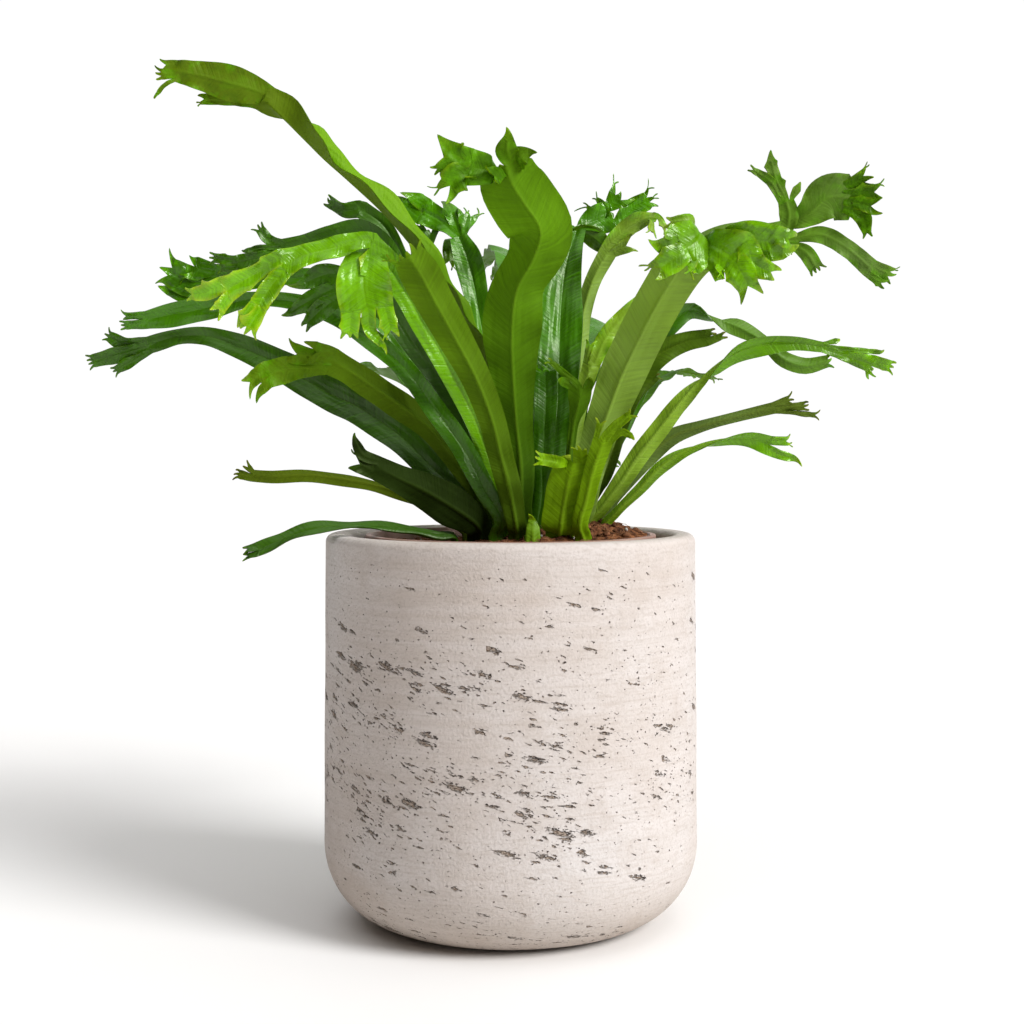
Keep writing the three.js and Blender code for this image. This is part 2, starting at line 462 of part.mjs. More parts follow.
// The soil: fills the growing pot, with a heaped lumpy top and a plain hole for each stalk
function soil(stalks) {
  const floor = POT_FLOOR + GAP + LINER_WALL + GAP;
  const points = [[0, 0, floor]];
  const triangles = [];
  const ringAt = (radius, height) => {
    const first = points.length;
    for (let i = 0; i < LINER_SIDES; i += 1) {
      const angle = (2 * Math.PI * i) / LINER_SIDES;
      const x = radius * Math.cos(angle);
      const y = radius * Math.sin(angle);
      points.push([x, y, height === null ? soilHeight(x, y) : height]);
    }
    return first;
  };
  const inset = GAP / Math.cos(Math.PI / LINER_SIDES);
  const rings = [ringAt(linerInside(floor) - inset, floor)];
  const topRadius = linerInside(SOIL_EDGE) - inset;
  for (let i = SOIL_RINGS; i > 0; i -= 1) rings.push(ringAt((topRadius * i) / SOIL_RINGS, null));
  points.push([0, 0, soilHeight(0, 0)]);
  const top = points.length - 1;
  for (let i = 0; i < LINER_SIDES; i += 1) {
    const next = (i + 1) % LINER_SIDES;
    triangles.push([0, rings[0] + next, rings[0] + i]);
    for (let k = 1; k < rings.length; k += 1) {
      triangles.push([rings[k - 1] + i, rings[k - 1] + next, rings[k] + next]);
      triangles.push([rings[k - 1] + i, rings[k] + next, rings[k] + i]);
    }
    triangles.push([rings[rings.length - 1] + i, rings[rings.length - 1] + next, top]);
  }
  let body = solid(indexed(points, triangles));
  for (const { place, turn, width, bottom } of stalks) {
    const hole = new THREE.BoxGeometry(width + 2 * HOLE_GAP, STALK + 2 * HOLE_GAP, 3 * STALK_DEPTH);
    hole.rotateZ(turn);
    hole.translate(place[0], place[1], bottom - HOLE_GAP + 1.5 * STALK_DEPTH);
    body = body.subtract(solid(hole));
  }
  return geometryOf(body);
}

function indexed(points, triangles) {
  const geometry = new THREE.BufferGeometry();
  geometry.setAttribute("position", new THREE.BufferAttribute(new Float32Array(points.flat()), 3));
  geometry.setIndex(triangles.flat());
  return geometry;
}

// Across-the-blade direction at a station, from the run's direction there and the station's face angle
function acrossAt(place, along, face) {
  const view = unit(add(place, EYE, -1));
  const side = unit(cross(along, view));
  const toward = cross(along, side);
  return add(scale(side, Math.cos(radians(face))), toward, Math.sin(radians(face)));
}

// A smooth run through knots [x, y, z, width, across x, y, z], as rows at even steps of length.
// The slope at each knot weighs its two neighbours by distance, and the first slope may be given.
function rowsAlong(knots, step, firstSlope) {
  const gaps = knots.slice(1).map((k, i) => apart(k, knots[i]));
  const slopes = knots.map((knot, i) => {
    if (i === 0) return scale(add(knots[1], knots[0], -1), 1 / gaps[0]);
    const before = scale(add(knot, knots[i - 1], -1), 1 / gaps[i - 1]);
    if (i === knots.length - 1) return before;
    const after = scale(add(knots[i + 1], knot, -1), 1 / gaps[i]);
    return mix(before, after, gaps[i - 1] / (gaps[i - 1] + gaps[i]));
  });
  if (firstSlope) slopes[0] = [...firstSlope, ...slopes[0].slice(3)];
  const fine = [];
  gaps.forEach((gap, i) => {
    for (let j = i === 0 ? 0 : 1; j <= RUN_PARTS; j += 1) {
      const t = j / RUN_PARTS;
      const weights = [
        2 * t ** 3 - 3 * t ** 2 + 1,
        (t ** 3 - 2 * t ** 2 + t) * gap,
        3 * t ** 2 - 2 * t ** 3,
        (t ** 3 - t ** 2) * gap,
      ];
      const pair = [knots[i], slopes[i], knots[i + 1], slopes[i + 1]];
      fine.push(knots[i].map((_, n) => pair.reduce((sum, p, m) => sum + p[n] * weights[m], 0)));
    }
  });
  const run = [0];
  for (let i = 1; i < fine.length; i += 1) run.push(run[i - 1] + apart(fine[i], fine[i - 1]));
  const total = run[run.length - 1];
  const count = Math.max(1, Math.round(total / step));
  const rows = [];
  let at = 0;
  for (let k = 0; k <= count; k += 1) {
    const want = (total * k) / count;
    while (at < fine.length - 2 && run[at + 1] < want) at += 1;
    const t = Math.min(1, (want - run[at]) / (run[at + 1] - run[at]));
    const value = mix(fine[at], fine[at + 1], t);
    const ahead = fine[Math.min(at + 2, fine.length - 1)];
    const along = unit(add(ahead, fine[Math.max(at - 1, 0)], -1).slice(0, 3));
    const lean = value.slice(4, 7);
    const across = unit(add(lean, along, -dot(lean, along)));
    const up = cross(along, across);
    rows.push({ centre: value.slice(0, 3), width: value[3], across, along, up, run: want });
  }
  return rows;
}

// One point of a row, c being -1 at one edge, 0 at the rib and 1 at the other edge
function rowPoint(row, c, fold, phase) {
  const half = row.width / 2;
  const ripple = WAVE * smooth(row.run / WAVE_LENGTH) * Math.min(1, row.width / 12) * Math.abs(c);
  const wave = ripple * Math.sin((2 * Math.PI * (row.run + phase)) / WAVE_LENGTH + (c > 0 ? 0 : 2.1));
  const lift = Math.abs(c) * half * Math.sin(radians(fold)) + wave;
  return add(add(row.centre, row.across, c * half * Math.cos(radians(fold))), row.up, lift);
}

// Triangles between two rows of points, whatever their counts
function stitch(triangles, a, b) {
  let i = 0;
  let j = 0;
  while (i < a.length - 1 || j < b.length - 1) {
    const left = i < a.length - 1 ? (i + 1) / (a.length - 1) : 2;
    const right = j < b.length - 1 ? (j + 1) / (b.length - 1) : 2;
    if (left <= right) {
      triangles.push([a[i], b[j], a[i + 1]]);
      i += 1;
    } else {
      triangles.push([a[i], b[j], b[j + 1]]);
      j += 1;
    }
  }
}

// Places across a row, split evenly
function evenly(cells) {
  return Array.from({ length: cells + 1 }, (_, i) => (2 * i) / cells - 1);
}

// One strip of a frond: rows of points joined by triangles, with fingers at its end
class Sheet {
  constructor() {
    this.points = [];
    this.thickness = [];
    this.triangles = [];
    this.before = null;
  }

  put(point, thickness) {
    this.points.push(point);
    this.thickness.push(thickness);
    return this.points.length - 1;
  }

  addRow(points, thickness) {
    const ids = points.map((point) => this.put(point, thickness));
    if (this.before) stitch(this.triangles, this.before, ids);
    this.before = ids;
  }

  addFingers(last, thickness, seed) {
    const ids = this.before;
    for (let i = 0; i < ids.length - 1; i += 1) {
      const a = this.points[ids[i]];
      const b = this.points[ids[i + 1]];
      const chance = draw(seed + this.points.length);
      const reach = apart(a, b) * (FINGER_REACH[0] + FINGER_REACH[1] * chance);
      const length = Math.min(FINGER[1], Math.max(FINGER[0], reach));
      const middle = ids.length > 2 ? (2 * i + 1) / (ids.length - 1) - 1 : 0;
      let tip = add(mix(a, b, 0.5), last.along, length);
      tip = add(tip, last.across, middle * FINGER_SPREAD * length);
      tip = add(tip, last.up, (draw(chance * 97) - 0.5) * FINGER_CURL * length);
      this.triangles.push([ids[i], this.put(tip, thickness), ids[i + 1]]);
    }
  }

  // The strip given its thickness: both faces are split alike, and walls close the edges
  thicken() {
    const normals = this.points.map(() => [0, 0, 0]);
    for (const [a, b, c] of this.triangles) {
      const p = this.points;
      const n = cross(add(p[b], p[a], -1), add(p[c], p[a], -1));
      for (const id of [a, b, c]) normals[id] = add(normals[id], n);
    }
    const half = this.points.map((p, i) => scale(unit(normals[i]), this.thickness[i] / 2));
    const count = this.points.length;
    const points = [
      ...this.points.map((p, i) => add(p, half[i])),
      ...this.points.map((p, i) => add(p, half[i], -1)),
    ];
    const edges = new Map();
    const triangles = [];
    for (const [a, b, c] of this.triangles) {
      triangles.push([a, b, c], [a + count, c + count, b + count]);
      for (const [s, t] of [[a, b], [b, c], [c, a]]) {
        if (edges.has(t + "_" + s)) edges.delete(t + "_" + s);
        else edges.set(s + "_" + t, [s, t]);
      }
    }
    for (const [s, t] of edges.values()) {
      triangles.push([s, s + count, t], [t, s + count, t + count]);
    }
    return indexed(points, triangles);
  }
}

// The strips of a crest: each lobe starts inside the end of the run that carries it
function lobeStrips(lobes, last, fold, level, seed) {
  const strips = [];
  const wide = lobes.reduce((sum, lobe) => sum + lobe.knots[0][3], 0);
  lobes.sort((a, b) => dot(last.across, a.knots[0]) - dot(last.across, b.knots[0]));
  let passed = 0;
  lobes.forEach((lobe, i) => {
    const share = lobe.knots[0][3] / wide;
    const c = 2 * (passed + share / 2) - 1;
    passed += share;
    const root = add(rowPoint(last, c, fold, seed), last.along, -LOBE_ROOT);
    const own = lobe.knots[0].slice(4, 7);
    const across = dot(own, last.across) > LOBE_TURN ? last.across : own;
    const start = [...root, share * last.width, ...across];
    const toward = unit(add(lobe.knots[0].slice(0, 3), root, -1));
    const slope = unit(add(last.along, toward));
    strips.push(...runStrips([start, ...lobe.knots], lobe.end, slope, level + 1, seed + 7 * i + 1));
  });
  return strips;
}

function runStrips(knots, end, slope, level, seed) {
  const sheet = new Sheet();
  const rows = rowsAlong(knots, LOBE_STEP, slope);
  const last = rows[rows.length - 1];
  const thickness = BLADE[Math.min(level, BLADE.length - 1)] - BLADE_STEP * (seed % 3);
  for (const row of rows) {
    const places = row === last && !Array.isArray(end) ? evenly(end) : evenly(1);
    sheet.addRow(places.map((c) => rowPoint(row, c, 0, seed)), thickness);
  }
  if (Array.isArray(end)) return [sheet, ...lobeStrips(end, last, 0, level, seed)];
  sheet.addFingers(last, thickness, seed);
  return [sheet];
}

// Knots from stations of the photo. The run's direction at each is taken from its neighbours.
function knotsOf(stations, before) {
  const places = stations.map(([column, row, depth]) => seenAt(column, row, depth));
  return stations.map(([, , , width, face], i) => {
    const from = i > 0 ? places[i - 1] : before || places[0];
    const to = i < places.length - 1 ? places[i + 1] : places[i];
    return [...places[i], width, ...acrossAt(places[i], unit(add(to, from, -1)), face)];
  });
}

// Lobes with their stations turned into knots, and their own lobes too
function endOf(end, before) {
  if (!Array.isArray(end)) return end;
  return end.map(([stations, further]) => {
    const knots = knotsOf(stations, before);
    return { knots, end: endOf(further, knots[knots.length - 1].slice(0, 3)) };
  });
}

// The stalk's own knots, upright in the soil below the first knot of the blade
function stalkKnots(root, first) {
  const level = unit([first[4], first[5], 0]);
  const ground = soilHeight(root[0], root[1]);
  const width = Math.min(STALK_WIDTH[1], Math.max(STALK_WIDTH[0], first[3]));
  return [-STALK_DEPTH, STALK_STRAIGHT].map((rise) => [root[0], root[1], ground + rise, width, ...level]);
}

// A whole frond: stalk and blade in one strip, joined with the strips of its crest
function growFrond(root, fold, seed, blade, end) {
  const stalk = stalkKnots(root, blade[0]);
  const sheet = new Sheet();
  const [foot, collar] = rowsAlong(stalk, STALK_DEPTH * 2, [0, 0, 1]);
  sheet.addRow(evenly(2).map((c) => rowPoint(foot, c, 0, 0)), STALK);
  sheet.addRow(evenly(2).map((c) => rowPoint({ ...collar, run: 0 }, c, 0, 0)), STALK);
  const rows = rowsAlong([stalk[1], ...blade], MAIN_STEP, [0, 0, 1]);
  const last = rows[rows.length - 1];
  for (const row of rows.slice(1)) {
    const places = row === last && !Array.isArray(end) ? evenly(end) : evenly(2);
    const fade = 1 - smooth((row.run - STALK_FADE[0]) / (STALK_FADE[1] - STALK_FADE[0]));
    const shape = fold * smooth(row.run / STALK_FADE[1]);
    sheet.addRow(places.map((c) => rowPoint(row, c, shape, seed)), BLADE[0] + (STALK - BLADE[0]) * fade);
  }
  let strips = [sheet];
  if (Array.isArray(end)) strips = [sheet, ...lobeStrips(end, last, fold, 0, seed)];
  else sheet.addFingers(last, BLADE[0], seed);
  const bodies = strips.map((strip) => solid(strip.thicken()));
  const joined = bodies.reduce((a, b) => a.add(b)).simplify(JOIN_SNAP);
  const level = stalk[0].slice(4, 6);
  return {
    geometry: geometryOf(joined),
    stalk: { place: root, turn: Math.atan2(level[1], level[0]), width: stalk[0][3], bottom: stalk[0][2] },
  };
}

// A rear frond's knots: it rises from its root and arches over in one upright plane
function rearFrond([, root, direction, length, riseAtRoot, riseAtTip, width], seed) {
  const away = [Math.cos(radians(direction)), Math.sin(radians(direction)), 0];
  const across = [-away[1], away[0], 0];
  const ground = soilHeight(root[0], root[1]);
  const knots = [];
  let place = [root[0], root[1], ground + STALK_STRAIGHT];
  const advance = (rise, distance) => {
    const forward = scale(away, Math.cos(radians(rise)) * distance);
    place = add(place, [forward[0], forward[1], Math.sin(radians(rise)) * distance]);
  };
  for (let i = 1; i <= REAR_STATIONS; i += 1) {
    const t = i / REAR_STATIONS;
    const rise = riseAtRoot + (riseAtTip - riseAtRoot) * (t - 0.5 / REAR_STATIONS) ** 1.6;
    advance(rise, length / REAR_STATIONS);
    const turn = radians(REAR_TWIST * Math.sin(seed + 3 * t));
    const up = cross(forwardOf(away, rise), across);
    const lean = add(scale(across, Math.cos(turn)), up, Math.sin(turn));
    knots.push([...place, STALK_WIDTH[0] + (width - STALK_WIDTH[0]) * smooth(t * 2.2), ...lean]);
  }
  const end = rearCrest(place, away, across, riseAtTip, width, seed);
  return { knots, end };
}

function forwardOf(away, rise) {
  return [away[0] * Math.cos(radians(rise)), away[1] * Math.cos(radians(rise)), Math.sin(radians(rise))];
}

// A crest by rule: three fingered lobes fan out
function rearCrest(place, away, across, rise, width, seed) {
  const lobes = [];
  for (let i = -1; i <= 1; i += 1) {
    const length = REAR_LOBE_LENGTH[0] + REAR_LOBE_LENGTH[1] * draw(seed + i);
    const ahead = forwardOf(away, rise - 25 + 30 * draw(seed * 3 + i));
    const spread = i * (0.75 + 0.3 * draw(seed * 5 + i));
    const way = unit(add(ahead, across, spread));
    const lobeAcross = unit(add(across, way, -dot(across, way)));
    const middle = add(place, way, length);
    const lobeWidth = width * REAR_CREST_WIDTH * (0.38 + 0.12 * draw(seed * 7 + i));
    lobes.push({ knots: [[...middle, lobeWidth, ...lobeAcross]], end: REAR_FINGERS });
  }
  return lobes;
}

function meshOf(name, geometry, color, roughness) {
  const material = new THREE.MeshStandardMaterial({ color, roughness, metalness: 0 });
  const mesh = new THREE.Mesh(geometry, material);
  mesh.name = name;
  return mesh;
}

const plant = new THREE.Group();
const stalks = [];

FRONDS.forEach(([name, root, tone, fold, stations, end], i) => {
  const knots = knotsOf(stations);
  const frond = growFrond(root, fold, i + 1, knots, endOf(end, knots[knots.length - 1].slice(0, 3)));
  stalks.push(frond.stalk);
  plant.add(meshOf(name, frond.geometry, ...TONES[tone]));
});

REAR_FRONDS.forEach((row, i) => {
  const { knots, end } = rearFrond(row, i + 1);
  const frond = growFrond(row[1], REAR_FOLD, FRONDS.length + i + 1, knots, end);
  stalks.push(frond.stalk);
  plant.add(meshOf(row[0], frond.geometry, ...TONES[REAR_TONES[i % REAR_TONES.length]]));
});

plant.add(meshOf("soil", soil(stalks), 0x6b4226, 0.95));

const part = new THREE.Group();
part.add(meshOf("pot", coverPot(), 0xd8cdc4, 0.75));
part.add(meshOf("growing_pot", growingPot(), 0x9a6a5c, 0.5));
part.add(plant);

export default part;
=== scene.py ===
import math

import bpy
import numpy as np
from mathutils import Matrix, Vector, noise


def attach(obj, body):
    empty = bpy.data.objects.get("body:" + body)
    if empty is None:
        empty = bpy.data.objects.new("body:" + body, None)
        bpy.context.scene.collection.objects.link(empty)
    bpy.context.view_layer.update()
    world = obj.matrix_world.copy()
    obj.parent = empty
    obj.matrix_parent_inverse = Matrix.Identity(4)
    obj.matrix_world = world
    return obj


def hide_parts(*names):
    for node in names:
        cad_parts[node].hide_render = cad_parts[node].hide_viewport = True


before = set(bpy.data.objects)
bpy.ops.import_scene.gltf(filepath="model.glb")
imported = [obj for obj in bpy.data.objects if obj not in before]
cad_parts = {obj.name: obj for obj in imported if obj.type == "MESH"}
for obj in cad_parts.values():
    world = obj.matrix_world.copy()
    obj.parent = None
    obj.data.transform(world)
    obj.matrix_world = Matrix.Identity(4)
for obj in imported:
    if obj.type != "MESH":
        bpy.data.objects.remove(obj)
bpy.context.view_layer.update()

# A crested bird's nest fern in a growing pot, inside a round cover pot of pale washed concrete.
# Places and sizes are in millimetres, in the frame's axes, and turned into metres when a mesh is made.
# The viewer of the photo is at -Y. The origin is the centre of the pot's flat underside.
MM = 0.001

# Cover pot
POT_HEIGHT = 170
POT_RADIUS = 82.5
POT_RIM_RADIUS = 81.2
POT_WALL = 10.5
POT_FLOOR = 12
FOOT_RADIUS = 50.5
FOOT_STEPS = 24
FOOT_ROUND_HEIGHT = 35
INNER_ROUND = 22
RIM_ROUND = 3.5
RIM_STEPS = 8
POT_SIDES = 288
POT_STEP = 2.2
POT_WOBBLE = 0.22

# Pits of its surface, by size. Each is: cell, reach as a share of the cell, share of cells that have one,
# what is added to that everywhere, slant in radians.
PITS = [
    [(15, 4.4), (0.16, 0.42), 0.36, 0, -0.3],
    [(10, 2.3), (0.1, 0.4), 0.34, 0, -0.16],
    [(5.2, 1.6), (0.0, 0.34), 0.5, 0.05, -0.4],
    [(2.4, 1.9), (-0.06, 0.2), 0.6, 0.4, 0.3],
]
PIT_SLANT = -0.24
PIT_SLOPE = 0.2
PIT_TURN = 2.3

# Growing pot
GAP = 0.35
LINER_TOP = 169.6
LINER_RADIUS = 64
LINER_BASE_RADIUS = 45
LINER_WALL = 1.4
LINER_LIP = 1.6
LINER_LIP_HEIGHT = 7
LINER_EDGE = 0.7
LINER_BEVEL = [0.5, 0.6]
LINER_SHARP = 35
LINER_SIDES = 144
LINER_STEP = 6

# Soil: its heap, its crumbs and a looser pile at the right
SOIL_EDGE = 164.5
SOIL_HEAP = 8.5
SOIL_HEAP_PLACE = [22, 4]
SOIL_HEAP_REACH = 34
SOIL_LUMP = 0.9
SOIL_CRUMB = 1.2
CRUMB_GRAIN = [0.16, 0.5]
SOIL_PILE = 4.5
SOIL_PILE_PLACE = [44, -6]
SOIL_PILE_REACH = 22
SOIL_SIDES = 220
SOIL_STEP = 1.3
SOIL_SIDE_STEP = 12
LOOSE_MARGIN = 4

# Loose fibres on the soil. A range is [least, span].
FIBRES = 420
FIBRE_LENGTH = [3, 6]
FIBRE_THICKNESS = [0.1, 0.16]
FIBRE_RISE = [0.5, 1.2]
FIBRE_BEND = 0.5
FIBRE_PARTS = 4

# Loose lumps. Each is: count, first seed, least and greatest half length, flatness, and its material's
# name, dark colour, light colour and fineness of grain.
LUMPS = {
    "bark_chips": [260, 101.0, (0.7, 2.4), 0.5, "bark", (0.08, 0.03, 0.014), (0.32, 0.14, 0.065), 220.0],
    "perlite_grains": [16, 57.0, (0.7, 1.5), 0.8, "perlite", (0.62, 0.6, 0.55), (0.8, 0.78, 0.74), 300.0],
}
LUMP_RINGS = [(-1.0, 0.35), (-0.45, 0.9), (0.25, 1.0), (0.85, 0.55)]
LUMP_SIDES = 7
LUMP_NARROW = 0.65
LUMP_ROUGH = 0.45
LUMP_RISE = 0.3

# Blades: thickness at the rib and at the margin, stalk, rib, fold
BLADE = 0.62
BLADE_MARGIN = 0.4
LOBE_THICKNESS = 0.5
STALK = 2.6
STALK_OVAL = 0.92
STALK_WIDTH = [4.5, 12]
STALK_DEPTH = 12
STALK_STRAIGHT = 2.5
STALK_FADE = [12, 55]
RIB_HEIGHT = [0.6, 0.25]
RIB_END = 12
RIB_PLACES = np.array([0.3, 0.6, 0.9, 1.3])
RIB_SHARE = 0.45
MARGIN_PLACE = 0.95
RIB_HALF_WIDTH = 1.0
LOBE_RIB = 0.14
RIB_ABOVE = 0.25
LEAF_SHARP = 60
LOBE_FOLD = 5
FOLD_GAIN = 1.7
PLAIN_FOLD = ["long_left"]
# Where a blade folds sharply: how far along, over what reach, and by how many degrees more
CREASES = {"middle_tall": [112, 14, 24]}
CREASE_ROUND = 0.004
CREASE_DROP = 0.063
CROWN = 0.05
ROW_STEP = 2.6
LOBE_ROW_STEP = 1.2
ROW_LEAST_WIDTH = 0.6
RUN_PARTS = 24
RUN_REACH = 1.5
BLADE_COLUMNS = 5
LOBE_COLUMNS = 3

# How near the tip each part counts as being, from 0 to 1
TIP_REACH = 45
TIP_OF_BLADE = 0.3
TIP_OF_LOBES = 0.2
TIP_OF_FINGERS = 0.35

# Margins: waves, ruffles and teeth
WAVE = 1.1
WAVE_LENGTH = 26
WAVE_WIDTH = 12
WAVE_LAG = 2.1
WAVE_DRIFT = [0.9, 17]
RUFFLE = 0.9
RUFFLE_LENGTH = 13
RUFFLE_SHIFT = [2.3, 1.4]
RUFFLE_START = 8
TOOTH = [0.4, 2.2]
TOOTH_ZONE = [0.55, 0.45]
TOOTH_START = [3, 6]
TOOTH_SPACING = 12
TOOTH_PLACE = [0.35, 0.4]
TOOTH_BASE = 4
TOOTH_BACK = 2.2
TOOTH_POWER = 1.6
TOOTH_SHARE = 0.5

# Lobes and fingers. A lobe that turns away starts as a neck: its width, how near the middle it starts.
LOBE_CELLS = 8
LOBE_TURN = 0.35
LOBE_ROOT = 2.5
NECK = [0.45, 0.35]
NECKS = {"bright_left": [0.6, 2.3]}
STUB = 3.0
STUB_REACH = [0.2, 0.3]
FINGER = [2.4, 11]
FINGER_REACH = [0.8, 0.9]
FINGER_SHARPNESS = 1.25
FINGER_TIP = 0.35
FINGER_SPREAD = 0.8
FINGER_CURL = 1.3
FINGER_SWAY = 0.9
FINGER_CELLS = 4
FINGER_ROWS = 7
FINGER_CUP = 0.25
FORK_AT = 4
FORK_SHARE = 0.3
FORK_BASE = 2
FORK_REACH = [0.35, 0.4]
FORK_SPREAD = 0.55

# The photo's camera: its place, its tilt down, its focal length and the column and row that it faces
EYE = np.array([0.0, -750.0, 212.0])
TILT = 0.0438
FOCAL = 1700
MIDDLE = [510.6, 512]
PHOTO_SIDE = 1024
SENSOR = 36

# Light: the far lamp, and what each direction of the room gives as axis, start, end and level
KEY_DIRECTION = (-1.0, 0.68, -0.8)
KEY_SOFTNESS = 0.45
KEY_STRENGTH = 3.4
AMBIENT = (0.06, 0.0492, 0.0396)
BACKDROPS = [(0, 0.0, 1.0, 0.4), (2, 0.65, 0.85, 1.25), (1, 0.8, 0.93, 1.02)]
FLOOR_SIDE = 12
FLOOR_DROP = 0.0004

